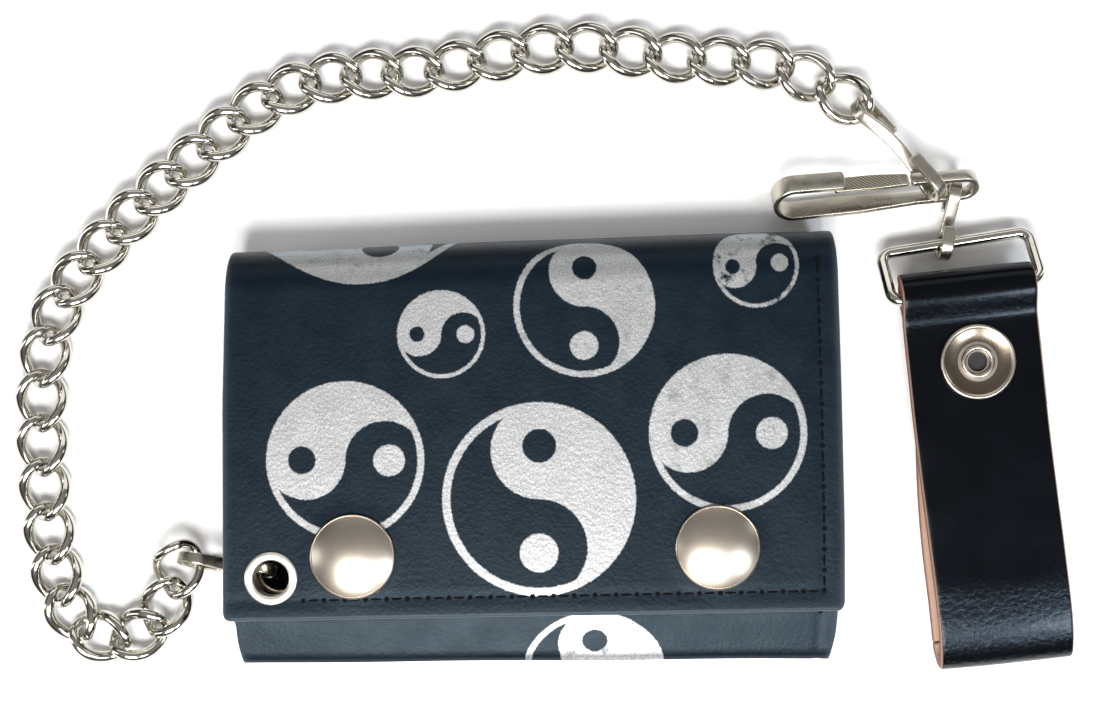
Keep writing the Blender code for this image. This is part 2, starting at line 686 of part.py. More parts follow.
for leftover in list(bpy.data.objects):
    bpy.data.objects.remove(leftover)
build()
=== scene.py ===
import json
import math

import bmesh
import bpy
import numpy as np
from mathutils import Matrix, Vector


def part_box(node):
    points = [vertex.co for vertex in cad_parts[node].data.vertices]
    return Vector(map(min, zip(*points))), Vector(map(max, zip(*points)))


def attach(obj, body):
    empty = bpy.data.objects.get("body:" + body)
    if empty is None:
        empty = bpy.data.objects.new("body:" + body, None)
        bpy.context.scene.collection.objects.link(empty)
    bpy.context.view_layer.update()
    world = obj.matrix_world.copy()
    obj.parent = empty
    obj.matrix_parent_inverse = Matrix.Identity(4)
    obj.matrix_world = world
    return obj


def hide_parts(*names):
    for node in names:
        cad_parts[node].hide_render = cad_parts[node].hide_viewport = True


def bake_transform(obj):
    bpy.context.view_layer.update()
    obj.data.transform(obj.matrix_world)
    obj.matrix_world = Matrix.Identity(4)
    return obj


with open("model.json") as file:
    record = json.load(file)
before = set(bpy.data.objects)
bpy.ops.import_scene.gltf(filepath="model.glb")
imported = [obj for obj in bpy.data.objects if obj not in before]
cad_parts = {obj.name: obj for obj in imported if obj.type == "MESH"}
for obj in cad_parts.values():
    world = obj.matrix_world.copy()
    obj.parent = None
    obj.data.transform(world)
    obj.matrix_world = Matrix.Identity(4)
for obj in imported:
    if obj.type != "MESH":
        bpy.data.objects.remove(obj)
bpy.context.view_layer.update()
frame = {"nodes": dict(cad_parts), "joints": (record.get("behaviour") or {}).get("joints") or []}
jointAt = {j["name"]: np.array(j["pos_m"], dtype=float) for j in frame["joints"]}
print("frame loaded:", len(frame["nodes"]), "nodes")


# shader helpers

def fill(tree, node, values):
    # a socket is linked and a plain value is set
    for key, value in values.items():
        if isinstance(value, bpy.types.NodeSocket):
            tree.links.new(value, node.inputs[key])
        else:
            node.inputs[key].default_value = value
    return node


def put(tree, kind, values=None, **settings):
    made = tree.nodes.new(kind)
    for key, value in settings.items():
        setattr(made, key, value)
    return fill(tree, made, values or {})


def calc(tree, operation, a, b=0.0, clamp=False):
    return put(tree, "ShaderNodeMath", {0: a, 1: b}, operation=operation, use_clamp=clamp).outputs[0]


def times(tree, a, b):
    return calc(tree, "MULTIPLY", a, b)


def plus(tree, a, b):
    return calc(tree, "ADD", a, b)


def minus(tree, a, b):
    return calc(tree, "SUBTRACT", a, b)


def without(tree, share):
    # what a share leaves of the whole
    return calc(tree, "SUBTRACT", 1.0, share, clamp=True)


def vector(tree, operation, a, b):
    second = "Scale" if operation == "SCALE" else 1
    return put(tree, "ShaderNodeVectorMath", {0: a, second: b}, operation=operation).outputs[0]


def spread(tree, value, low, high, newLow=0.0, newHigh=1.0):
    limits = {"Value": value, "From Min": low, "From Max": high, "To Min": newLow, "To Max": newHigh}
    return put(tree, "ShaderNodeMapRange", limits, clamp=True).outputs[0]


def mixColour(tree, share, first, second):
    ends = [value if isinstance(value, bpy.types.NodeSocket) else (*value, 1.0) for value in (first, second)]
    return put(tree, "ShaderNodeMix", {"Factor": share, 6: ends[0], 7: ends[1]}, data_type="RGBA").outputs[2]


def noise(tree, place, scale, detail=2.0, roughness=0.5, distortion=0.0):
    values = {"Vector": place, "Scale": scale, "Detail": detail,
              "Roughness": roughness, "Distortion": distortion}
    return put(tree, "ShaderNodeTexNoise", values).outputs["Fac"]


def bump(tree, height, strength, distance):
    values = {"Strength": strength, "Distance": distance, "Height": height}
    return put(tree, "ShaderNodeBump", values).outputs[0]


def sheetPlace(tree):
    return put(tree, "ShaderNodeUVMap", uv_map="leather").outputs[0]


def objectPlace(tree):
    return put(tree, "ShaderNodeTexCoord").outputs["Object"]


def marked(tree, label):
    return put(tree, "ShaderNodeAttribute", attribute_name=label).outputs["Fac"]


def newGroup(name, inputs, outputs):
    # an input with no default is a vector, and all the rest are single values
    group = bpy.data.node_groups.new(name, "ShaderNodeTree")
    for label, value in inputs.items():
        kind = "NodeSocketVector" if value is None else "NodeSocketFloat"
        socket = group.interface.new_socket(label, in_out="INPUT", socket_type=kind)
        if value is not None:
            socket.default_value = value
    for label in outputs:
        group.interface.new_socket(label, in_out="OUTPUT", socket_type="NodeSocketFloat")
    return group, group.nodes.new("NodeGroupInput").outputs, group.nodes.new("NodeGroupOutput")


def useGroup(tree, group, values):
    return put(tree, "ShaderNodeGroup", values, node_tree=group).outputs


def newFinish(name):
    finish = bpy.data.materials.new(name)
    finish.use_nodes = True
    return finish, finish.node_tree, finish.node_tree.nodes["Principled BSDF"]


# shared effects

def makeLeatherGrain():
    # pebbles are cells with rounded tops, creases are folded noise, and finer noise lies over both
    group, given, result = newGroup(
        "leatherGrain", {"Place": None, "Pebbles": 120.0, "Creases": 30.0}, ["Height", "Mottle"])
    place, pebbles, creases = given["Place"], given["Pebbles"], given["Creases"]
    cells = put(group, "ShaderNodeTexVoronoi", feature="SMOOTH_F1", values={
        "Vector": place, "Scale": pebbles, "Randomness": 1.0, "Smoothness": 0.6})
    pebble = minus(group, 1.0, cells.outputs["Distance"])
    fine = noise(group, place, times(group, pebbles, 2.6), 3.0, 0.6)
    fold = calc(group, "ABSOLUTE", minus(group, noise(group, place, creases, 4.0, 0.6, 1.2), 0.5))
    height = plus(group, times(group, pebble, 0.5), times(group, fine, 0.35))
    fill(group, result, {
        "Height": plus(group, height, times(group, fold, 0.9)),
        "Mottle": noise(group, place, times(group, creases, 0.6), 3.0, 0.55)})
    return group


def makeMetalMarks():
    # soft smudges raise the roughness, sparser ones tarnish, and fine noise gives the height
    group, given, result = newGroup(
        "metalMarks", {"Place": None, "Polish": 0.14, "Spread": 0.12}, ["Roughness", "Tarnish", "Height"])
    place = given["Place"]
    smudge = spread(group, noise(group, place, 240.0, 3.0, 0.6), 0.35, 0.75)
    fill(group, result, {
        "Roughness": plus(group, given["Polish"], times(group, smudge, given["Spread"])),
        "Tarnish": spread(group, noise(group, place, 420.0, 4.0, 0.65), 0.58, 0.95),
        "Height": noise(group, place, 900.0)})
    return group


def makeDiscPrint():
    # Fields are positive inside a shape. The light half is the right half joined with the upper lobe,
    # less the lower lobe and the upper dot, joined with the lower dot and the rim, and cut to the disc.
    group, given, result = newGroup(
        "discPrint", {"Place": None, "Across": 0.0, "Along": 0.0, "Radius": 0.1, "Turn": 0.0, "Wear": 0.0},
        ["Print"])
    centre = put(group, "ShaderNodeCombineXYZ", {0: given["Across"], 1: given["Along"]}).outputs[0]
    away = vector(group, "SUBTRACT", given["Place"], centre)
    back = times(group, given["Turn"], -1.0)
    turned = put(group, "ShaderNodeVectorRotate", {"Vector": away, "Angle": back}, rotation_type="Z_AXIS")
    local = vector(group, "SCALE", turned.outputs[0], calc(group, "DIVIDE", 1.0, given["Radius"]))
    flat = vector(group, "MULTIPLY", local, (1.0, 1.0, 0.0))
    field = put(group, "ShaderNodeSeparateXYZ", {0: flat}).outputs[0]
    # each step joins or cuts with the inside or the outside of a circle on the disc's middle line
    for operation, side, y, radius in (
            ("MAXIMUM", "inside", 0.5, 0.5), ("MINIMUM", "outside", -0.5, 0.5),
            ("MINIMUM", "outside", 0.55, 0.175), ("MAXIMUM", "inside", -0.555, 0.2),
            ("MAXIMUM", "outside", 0.0, 0.915), ("MINIMUM", "inside", 0.0, 1.0)):
        reach = put(group, "ShaderNodeVectorMath", {0: flat, 1: (0.0, y, 0.0)}, operation="DISTANCE")
        reach = reach.outputs["Value"]
        depth = minus(group, radius, reach) if side == "inside" else minus(group, reach, radius)
        field = calc(group, operation, field, depth)
    printed = spread(group, times(group, field, given["Radius"]), -0.0012, 0.0012)
    # worn patches eat into the print where coarse noise is high
    patch = spread(group, noise(group, given["Place"], 34.0, 5.0, 0.7), 0.52, 0.66)
    fill(group, result, {"Print": times(group, printed, without(group, times(group, patch, given["Wear"])))})
    return group


leatherGrain = makeLeatherGrain()
metalMarks = makeMetalMarks()
discPrint = makeDiscPrint()

sheetUnit = 0.1  # one unit of the leather's UV map is this many metres
mmOnSheet = 0.001 / sheetUnit

# The print on the wallet's outer leather, in millimetres on the unrolled sheet:
# place across, place along, radius, turn in degrees and wear from 0 to 1.
wholeSheet = {
    "discs": [
        (-30.6, 48.0, 19.0, 200.0, 0.35), (-16.0, 20.2, 7.7, 90.0, 0.1), (9.1, 25.1, 12.4, 0.0, 0.3),
        (39.2, 32.4, 7.5, 95.0, 1.0), (-32.8, -1.9, 13.85, 90.0, 0.1), (1.2, -8.7, 17.0, 0.0, 0.1),
        (34.3, 2.9, 13.85, 90.0, 0.35), (11.1, 120.8, 13.0, 0.0, 0.5),
        (-33.0, 78.0, 12.5, 30.0, 0.4), (2.0, 84.0, 17.0, 180.0, 0.3), (36.0, 68.0, 9.0, 270.0, 0.5),
        (33.0, 101.0, 13.0, 60.0, 0.4), (-24.0, 106.0, 8.0, 120.0, 0.4),
        (-28.0, 148.0, 13.0, 180.0, 0.2), (24.0, 158.0, 15.0, 90.0, 0.2),
    ],
    "leather": (0.0012, 0.0030, 0.0068),
    "leatherPale": (0.0032, 0.0070, 0.0120),
    "silver": (0.385, 0.39, 0.39),
    "silverDull": (0.20, 0.205, 0.21),
    "cutEdge": (0.075, 0.092, 0.11),
    "tint": (0.66, 0.86, 1.0, 1.0),
    "shine": 0.17,
    "foil": 0.62,
    "rough": (0.34, 0.43),
}


def makeWalletLeather(name, sheetLow, sheetHigh):
    # carries only the discs that reach its own stretch of the sheet
    finish, tree, shader = newFinish(name)
    place = sheetPlace(tree)
    grain = useGroup(tree, leatherGrain, {"Place": place, "Pebbles": 150.0, "Creases": 26.0})
    # the printed edge wanders a little with the grain
    values = {"Vector": place, "Scale": 190.0, "Detail": 2.0}
    wander = put(tree, "ShaderNodeTexNoise", values).outputs["Color"]
    wander = vector(tree, "SCALE", vector(tree, "SUBTRACT", wander, (0.5, 0.5, 0.5)), 0.004)
    shaken = vector(tree, "ADD", place, wander)
    printed = None
    for across, along, radius, turn, wear in wholeSheet["discs"]:
        if along + radius < sheetLow or along - radius > sheetHigh:
            continue
        disc = useGroup(tree, discPrint, {
            "Place": shaken, "Across": mmOnSheet * across, "Along": mmOnSheet * along,
            "Radius": mmOnSheet * radius, "Turn": math.radians(turn), "Wear": wear})["Print"]
        printed = disc if printed is None else calc(tree, "MAXIMUM", printed, disc)
    # pin pricks and scuffs where the foil missed the grain
    pricks = spread(tree, noise(tree, place, 260.0, 2.0, 0.6), 0.66, 0.74)
    scuffs = spread(tree, noise(tree, place, 85.0, 5.0, 0.75), 0.68, 0.72)
    missed = calc(tree, "MAXIMUM", times(tree, pricks, 0.35), times(tree, scuffs, 0.8))
    printed = times(tree, times(tree, printed, without(tree, missed)), marked(tree, "outer"))
    speckle = spread(tree, noise(tree, place, 330.0, 3.0, 0.7), 0.3, 0.62)
    silver = mixColour(tree, speckle, wholeSheet["silverDull"], wholeSheet["silver"])
    leather = mixColour(tree, grain["Mottle"], wholeSheet["leather"], wholeSheet["leatherPale"])
    leather = mixColour(tree, marked(tree, "rim"), leather, wholeSheet["cutEdge"])
    height = plus(tree, grain["Height"], times(tree, printed, 0.12))
    fill(tree, shader, {
        "Base Color": mixColour(tree, printed, leather, silver),
        "Metallic": times(tree, printed, wholeSheet["foil"]),
        "Roughness": spread(tree, grain["Mottle"], 0.3, 0.7, *wholeSheet["rough"]),
        "Specular IOR Level": wholeSheet["shine"],
        "Specular Tint": wholeSheet["tint"],
        "Normal": bump(tree, height, 0.25, 0.00022)})
    return finish


strapLook = {
    "black": (0.0011, 0.0013, 0.0022),
    "flesh": (0.44, 0.27, 0.19),
    "fleshPale": (0.58, 0.42, 0.33),
    "edge": (0.20, 0.11, 0.085),
    "tint": (0.62, 0.80, 1.0, 1.0),
    "shine": (0.08, 0.26),
    "gloss": (0.17, 0.25),
    "fleshRough": 0.85,
    "coat": 0.1,
    "coatRough": 0.16,
}


def makeStrapLeather():
    finish, tree, shader = newFinish("strapLeather")
    place = sheetPlace(tree)
    outer, rim, crease = (marked(tree, label) for label in ("outer", "rim", "crease"))
    grain = useGroup(tree, leatherGrain, {"Place": place, "Pebbles": 125.0, "Creases": 22.0})
    # wrinkles that run across the strap at its folds, and the fibres of its bare side
    wrinkle = noise(tree, vector(tree, "MULTIPLY", place, (0.35, 1.0, 1.0)), 120.0, 4.0, 0.6, 0.8)
    fibre = noise(tree, place, 240.0, 5.0, 0.75)
    flesh = mixColour(tree, fibre, strapLook["flesh"], strapLook["fleshPale"])
    bare = mixColour(tree, rim, flesh, strapLook["edge"])
    gloss = spread(tree, grain["Mottle"], 0.3, 0.7, *strapLook["gloss"])
    rough = put(tree, "ShaderNodeMix", {"Factor": outer, 2: strapLook["fleshRough"], 3: gloss}).outputs[0]
    height = plus(tree, times(tree, grain["Height"], spread(tree, crease, 0.0, 1.0, 0.12, 0.8)),
                  times(tree, times(tree, wrinkle, crease), 0.4))
    height = plus(tree, height, times(tree, without(tree, outer), times(tree, fibre, 0.6)))
    # the leather shines more where a fold has stretched it
    shine = spread(tree, times(tree, crease, crease), 0.0, 1.0, *strapLook["shine"])
    fill(tree, shader, {
        "Base Color": mixColour(tree, outer, bare, strapLook["black"]),
        "Roughness": rough,
        "Coat Weight": times(tree, outer, strapLook["coat"]),
        "Coat Roughness": strapLook["coatRough"],
        "Specular IOR Level": shine,
        "Specular Tint": strapLook["tint"],
        "Normal": bump(tree, height, 0.55, 0.0003)})
    return finish


def makeLining():
    finish, tree, shader = newFinish("walletLining")
    grain = useGroup(tree, leatherGrain, {"Place": objectPlace(tree), "Pebbles": 1500.0, "Creases": 260.0})
    fill(tree, shader, {
        "Base Color": mixColour(tree, grain["Mottle"], (0.010, 0.010, 0.011), (0.028, 0.026, 0.026)),
        "Roughness": spread(tree, grain["Mottle"], 0.3, 0.7, 0.65, 0.8),
        "Specular IOR Level": 0.3,
        "Normal": bump(tree, grain["Height"], 0.3, 0.00012)})
    return finish


def makeThread():
    finish, tree, shader = newFinish("blackThread")
    twist = noise(tree, objectPlace(tree), 2600.0, 2.0, 0.6)
    fill(tree, shader, {
        "Base Color": mixColour(tree, twist, (0.0005, 0.0006, 0.001), (0.003, 0.003, 0.004)),
        "Roughness": spread(tree, twist, 0.3, 0.7, 0.6, 0.85),
        "Specular IOR Level": 0.06,
        "Normal": bump(tree, twist, 0.4, 0.0001)})
    return finish


def makeNickel(name, bright, dull, polish, smudged, grooveShade=None):
    # painted shade, where given, darkens the piece's own grooves
    finish, tree, shader = newFinish(name)
    marks = useGroup(tree, metalMarks, {"Place": objectPlace(tree), "Polish": polish, "Spread": smudged})
    colour = mixColour(tree, marks["Tarnish"], bright, dull)
    if grooveShade:
        colour = mixColour(tree, marked(tree, "groove"), colour, grooveShade)
    fill(tree, shader, {
        "Base Color": colour,
        "Metallic": 1.0,
        "Roughness": marks["Roughness"],
        "Normal": bump(tree, marks["Height"], 0.02, 0.00004)})
    return finish


# bright and dull colour, roughness when polished, what smudges add to it, and painted shade for grooves
nickelLooks = {
    "chainNickel": ((0.53, 0.51, 0.46), (0.36, 0.34, 0.29), 0.10, 0.06),
    "capNickel": ((0.45, 0.40, 0.34), (0.38, 0.33, 0.275), 0.30, 0.03),
    "eyeletNickel": ((0.88, 0.85, 0.77), (0.80, 0.76, 0.66), 0.36, 0.05),
    "dishNickel": ((0.19, 0.155, 0.12), (0.14, 0.115, 0.09), 0.22, 0.06),
    "clipNickel": ((0.46, 0.43, 0.37), (0.36, 0.33, 0.27), 0.25, 0.08),
    "knurledNickel": ((0.46, 0.42, 0.34), (0.35, 0.32, 0.25), 0.28, 0.08, (0.08, 0.07, 0.05)),
}
nickel = {name: makeNickel(name, *look) for name, look in nickelLooks.items()}
flapLeather = makeWalletLeather("flapLeather", -30.0, 54.0)
backLeather = makeWalletLeather("backLeather", 54.0, 115.0)
lowerLeather = makeWalletLeather("lowerLeather", 115.0, 176.0)
strapLeather = makeStrapLeather()
lining = makeLining()
thread = makeThread()
print("finishes made")


# mesh helpers

def unit(v):
    return v / np.linalg.norm(v, axis=-1, keepdims=True)


def ease(share):
    share = np.clip(share, 0.0, 1.0)
    return share * share * (3.0 - 2.0 * share)


def boxOf(node):
    low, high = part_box(node)
    return np.array(low), np.array(high)


def gridPiece(name, grid, finish, closeRows=False, uv=None, marks=None, weld=False, sharp=60.0):
    # quads through a grid of points, rows along the path and columns round the profile, open ends capped
    rows, columns = grid.shape[:2]
    points = grid.reshape(-1, 3)
    index = np.arange(rows * columns).reshape(rows, columns)
    ends = [] if closeRows else [index[0].tolist(), index[-1, ::-1].tolist()]
    if closeRows:
        index = np.concatenate([index, index[:1]])
    index = np.concatenate([index, index[:, :1]], axis=1)
    quads = np.stack([index[:-1, :-1], index[1:, :-1], index[1:, 1:], index[:-1, 1:]], axis=-1).reshape(-1, 4)
    # a negative volume means that the faces look inwards
    a, b, c, d = (points[quads[:, k]] - points.mean(axis=0) for k in range(4))
    if np.sum(a * (np.cross(b, c) + np.cross(c, d))) < 0.0:
        quads = quads[:, ::-1]
        ends = [loop[::-1] for loop in ends]
    mesh = bpy.data.meshes.new(name)
    mesh.from_pydata(points.tolist(), [], quads.tolist() + ends)
    for label, values in (marks or {}).items():
        layer = mesh.attributes.new(label, "FLOAT", "POINT")
        layer.data.foreach_set("value", np.broadcast_to(values, (rows, columns)).astype(np.float32).ravel())
    if uv is not None:
        corners = np.zeros(len(mesh.loops), dtype=np.int32)
        mesh.loops.foreach_get("vertex_index", corners)
        layer = mesh.uv_layers.new(name="leather")
        layer.data.foreach_set("uv", uv.reshape(-1, 2)[corners].astype(np.float32).ravel())
    if weld:
        shape = bmesh.new()
        shape.from_mesh(mesh)
        bmesh.ops.remove_doubles(shape, verts=shape.verts, dist=1e-7)
        shape.to_mesh(mesh)
        shape.free()
    mesh.materials.append(finish)
    mesh.shade_smooth()
    mesh.set_sharp_from_angle(angle=math.radians(sharp))
    return linked(name, mesh)


def linked(name, mesh):
    piece = bpy.data.objects.new(name, mesh)
    bpy.context.scene.collection.objects.link(piece)
    return piece


def dress(piece, body, slotName, *nodes):
    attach(piece, body)
    if nodes:
        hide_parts(*nodes)


def joinPieces(name, pieces):
    # one mesh from several that share a finish
    shape = bmesh.new()
    for piece in pieces:
        shape.from_mesh(piece.data)
    mesh = bpy.data.meshes.new(name)
    shape.to_mesh(mesh)
    shape.free()
    mesh.materials.append(pieces[0].data.materials[0])
    for piece in pieces:
        bpy.data.objects.remove(piece)
    return linked(name, mesh)


def punch(piece, cutter):
    # cuts one piece out of another and keeps the result as plain mesh
    step = piece.modifiers.new("punch", "BOOLEAN")
    step.operation = "DIFFERENCE"
    step.solver = "EXACT"
    step.object = cutter
    depsgraph = bpy.context.evaluated_depsgraph_get()
    shaped = bpy.data.meshes.new_from_object(piece.evaluated_get(depsgraph))
    piece.modifiers.clear()
    piece.data = shaped
    bpy.data.objects.remove(cutter)
    shaped.set_sharp_from_angle(angle=math.radians(60.0))


def arc(x, y, radius, start, end, count):
    # points on a circle between two angles, which are given in half turns
    turns = np.pi * np.linspace(start, end, count)
    return np.stack([x + radius * np.cos(turns), y + radius * np.sin(turns)], axis=1)


def roundedProfile(wide, thick, corner, across=2, steps=4):
    # a closed outline counter-clockwise: the top from right to left, then the same turned half round
    x = 0.5 * wide - corner
    y = 0.5 * thick - corner
    span = np.linspace(1.0, -1.0, across + 1)[1:-1]
    top = np.concatenate([arc(x, y, corner, 0.0, 0.5, steps + 1),
                          np.stack([x * span, np.full(len(span), y + corner)], axis=1),
                          arc(-x, y, corner, 0.5, 1.0, steps + 1)])
    return np.concatenate([top, -top])


def stations(path, across, spacing, endRound):
    # even steps along a path, closer at its ends, with each step's share of the full section
    across = np.broadcast_to(across, path.shape)
    run = np.concatenate([[0.0], np.cumsum(np.linalg.norm(np.diff(path, axis=0), axis=1))])
    whole = run[-1]
    marks = np.linspace(0.0, whole, max(int(whole / spacing), 4) + 1)
    lead = endRound * np.array([0.0, 0.06, 0.2, 0.45, 1.0])
    inner = marks[(marks > endRound) & (marks < whole - endRound)]
    marks = np.concatenate([lead, inner, whole - lead[::-1]])
    placed, beside = (np.stack([np.interp(marks, run, line[:, k]) for k in range(3)], axis=1)
                      for line in (path, across))
    reach = np.clip(np.minimum(marks, whole - marks) / endRound, 0.0, 1.0)
    return placed, beside, np.sqrt(1.0 - (1.0 - reach) ** 2), marks


def sections(profile, wide, tall):
    # a profile at every station, scaled across by wide and in height by tall
    scaled = [profile[:, k] * np.reshape(size, (-1, 1)) for k, size in enumerate((wide, tall))]
    return np.stack(np.broadcast_arrays(*scaled), axis=-1)


def sweep(path, across, section):
    # a section carried along a path, its width along across and its height square to both
    along = unit(np.gradient(path, axis=0))
    across = unit(across - along * np.sum(across * along, axis=1)[:, None])
    outward = np.cross(along, across)
    return path[:, None] + section[..., :1] * across[:, None] + section[..., 1:] * outward[:, None]


def tube(path, first, second, radius, around):
    # a ring of points about each point of a path, in the plane of two directions
    turns = (2.0 * np.pi * np.arange(around) / around)[:, None]
    first, second = (np.broadcast_to(side, path.shape)[..., None, :] for side in (first, second))
    radius = np.broadcast_to(radius, path.shape[:-1])[..., None, None]
    return path[..., None, :] + radius * (np.cos(turns) * first + np.sin(turns) * second)


def lathePiece(name, profile, centre, finish, steps=72, closed=False):
    # a profile of radius and height turned about an upright axis
    profile = np.array(profile)
    turns = 2.0 * np.pi * np.arange(steps) / steps
    grid = np.stack([centre[0] + profile[:, :1] * np.cos(turns), centre[1] + profile[:, :1] * np.sin(turns),
                     np.broadcast_to(profile[:, 1:], (len(profile), steps))], axis=-1)
    return gridPiece(name, grid, finish, closeRows=closed, weld=not closed, sharp=50.0)


def drill(centre, radius, low, high, steps):
    # an upright pin to punch a round hole with
    profile = [(0.0, low), (radius, low), (radius, high), (0.0, high)]
    return lathePiece("drill", profile, centre, lining, steps)


def smoothPath(points, samples):
    # a Catmull-Rom curve through a few points, with its ends continued straight
    points = np.array(points, dtype=float)
    padded = np.concatenate([2.0 * points[:1] - points[1:2], points, 2.0 * points[-1:] - points[-2:-1]])
    t = (np.arange(samples) / samples)[:, None]
    curve = [b + 0.5 * t * (c - a + t * (2.0 * a - 5.0 * b + 4.0 * c - d + t * (3.0 * (b - c) + d - a)))
             for a, b, c, d in zip(padded, padded[1:], padded[2:], padded[3:])]
    return np.concatenate([*curve, points[-1:]])


# wallet leather: one printed sheet that runs from the flap over the top, down the back and up under the flap

flapLow, flapHigh = boxOf("flap_outer")
lowerLow, lowerHigh = boxOf("lower_outer")
topFoldHigh = boxOf("top_fold")[1]
bottomFoldLow, bottomFoldHigh = boxOf("bottom_fold")
eyelet = 0.5 * sum(boxOf("flap_grommet"))
# the snaps follow the leather a little way out of square
snapShift = {"left": np.array([0.0006, -0.0012, 0.0]), "right": np.array([0.0004, 0.0004, 0.0])}
snapPlaces = {side: 0.5 * sum(boxOf(side + "_snap_cap")) + shift for side, shift in snapShift.items()}
leatherThick = flapHigh[2] - flapLow[2]
halfWide = flapHigh[0]

shell = {
    "spacing": 0.0008,
    "columns": 160,
    "edgeRound": 0.0005,
    "rimFade": 0.00035,
    "flapCorner": 0.0015,
    "wave": 0.00015,
    "stitchInset": 0.0036,
    "stitchRise": 0.0036,
    "stitchPitch": 0.0036,
    "stitchFromEyelet": 0.0062,
    "groove": 0.00012,
    "grooveWide": 0.0006,
    "puff": 0.00013,
    "puffRadius": 0.0072,
    "puffWide": 0.0016,
    "lowerInset": 0.0004,
    "lowerCorner": 0.0009,
    "lowerCornerRun": 0.003,
    "lowerSlope": math.radians(15.0),
    "lowerRound": 0.0014,
    "lowerFlatFrom": 0.0032,
    "lowerEase": 0.0026,
    "eyeletCut": 0.00395,
    # how far the notch for the hook reaches beyond the eyelet's middle: right, down and up
    "notch": (0.0059, 0.0053, 0.0077),
    "notchTall": (0.006, 0.0115),
}
# How the soft wallet has settled out of square, in millimetres at its left and right edges:
# y, left and right shift up, left and right shift across.
settled = np.array([
    (37.0, -2.1, 1.9, -0.1, -0.35),
    (10.0, -1.6, 1.6, -0.7, 0.5),
    (-15.0, -1.1, 1.3, -0.6, 1.1),
    (-29.6, -0.8, 1.1, -0.6, 1.15),
    (-30.6, -0.85, 0.9, 0.35, 1.1),
    (-37.1, -1.8, -0.9, 0.5, 0.8),
])[::-1] * 0.001
topRadius = 0.5 * topFoldHigh[2]
topCentreY = topFoldHigh[1] - topRadius
bottomRadius = 0.5 * bottomFoldHigh[2]
bottomCentreY = bottomFoldLow[1] + bottomRadius
# lengths along the sheet where the back begins and where the lower panel begins
backStart = topCentreY + math.pi * topRadius
lowerStart = backStart + topCentreY - bottomCentreY + math.pi * bottomRadius
stitchX = halfWide - shell["stitchInset"]
stitchY = flapLow[1] + shell["stitchRise"]


def settle(x, y):
    # shifts across and up, straight between the two edges and between the listed heights
    share = 0.5 + 0.5 * x / halfWide
    leftUp, rightUp, leftOut, rightOut = (np.interp(y, settled[:, 0], settled[:, k]) for k in (1, 2, 3, 4))
    return leftOut + (rightOut - leftOut) * share, leftUp + (rightUp - leftUp) * share


def settledPlace(place):
    shiftX, shiftY = settle(place[..., 0], place[..., 1])
    return place + np.stack([shiftX, shiftY, np.zeros_like(shiftX)], axis=-1), shiftY


ripple = np.random.default_rng(11)
rippleTerms = [(ripple.uniform(30.0, 160.0), ripple.uniform(30.0, 160.0), ripple.uniform(0.0, 6.28))
               for i in range(7)]


def gentleWave(x, sheet):
    # a few slow sine waves across and along the sheet
    return sum(np.sin(a * x + b * sheet + c) for a, b, c in rippleTerms) * shell["wave"] / 3.0


def bell(away, wide):
    return np.exp(-(away / wide) ** 2)


def flapRelief(x, sheet, outer):
    # grooves under the two rows of stitches, and a slight puff round the snaps
    hem = stitchY + settle(x, stitchY)[1]
    edge = stitchX + settle(stitchX, sheet)[0]
    groove = bell(sheet - hem, shell["grooveWide"]) * (x < edge)
    groove = groove + bell(x - edge, shell["grooveWide"]) * (sheet > hem)
    puff = sum(bell(np.hypot(x - p[0], sheet - p[1]) - shell["puffRadius"], shell["puffWide"])
               for p in snapPlaces.values())
    return gentleWave(x, sheet) + outer * (shell["puff"] * puff - shell["groove"] * groove)


def lowerRelief(x, sheet, outer):
    # slow waves, and a groove under the side stitches
    edge = stitchX + settle(stitchX, bottomCentreY + sheet - lowerStart)[0]
    return gentleWave(x, sheet) - outer * shell["groove"] * bell(x - edge, shell["grooveWide"])


def backRelief(x, sheet, outer):
    return np.zeros_like(x)


def flapWidth(marks, whole):
    # drawn in along a quarter circle at the corners of the free edge
    left = np.clip(shell["flapCorner"] - (whole - marks), 0.0, shell["flapCorner"])
    return halfWide - shell["flapCorner"] + np.sqrt(shell["flapCorner"] ** 2 - left ** 2)


def lowerWidth(marks, whole):
    # a little narrower than the flap, and drawn in round the fold
    drawn = bell(marks - 0.5 * math.pi * bottomRadius, shell["lowerCornerRun"])
    return halfWide - shell["lowerInset"] - shell["lowerCorner"] * drawn


def backWidth(marks, whole):
    return np.full(len(marks), halfWide)


def flapFold():
    # from the back panel's edge, half round the fold, then straight to the free edge
    middle = topRadius - 0.5 * leatherThick
    bend = arc(topCentreY, topRadius, middle, -0.5, 0.5, 49)
    ends = [(flapHigh[1], 0.5 * leatherThick)], [(flapLow[1], topRadius + middle)]
    return np.insert(np.concatenate([ends[0], bend, ends[1]]), 0, 0.0, axis=1)


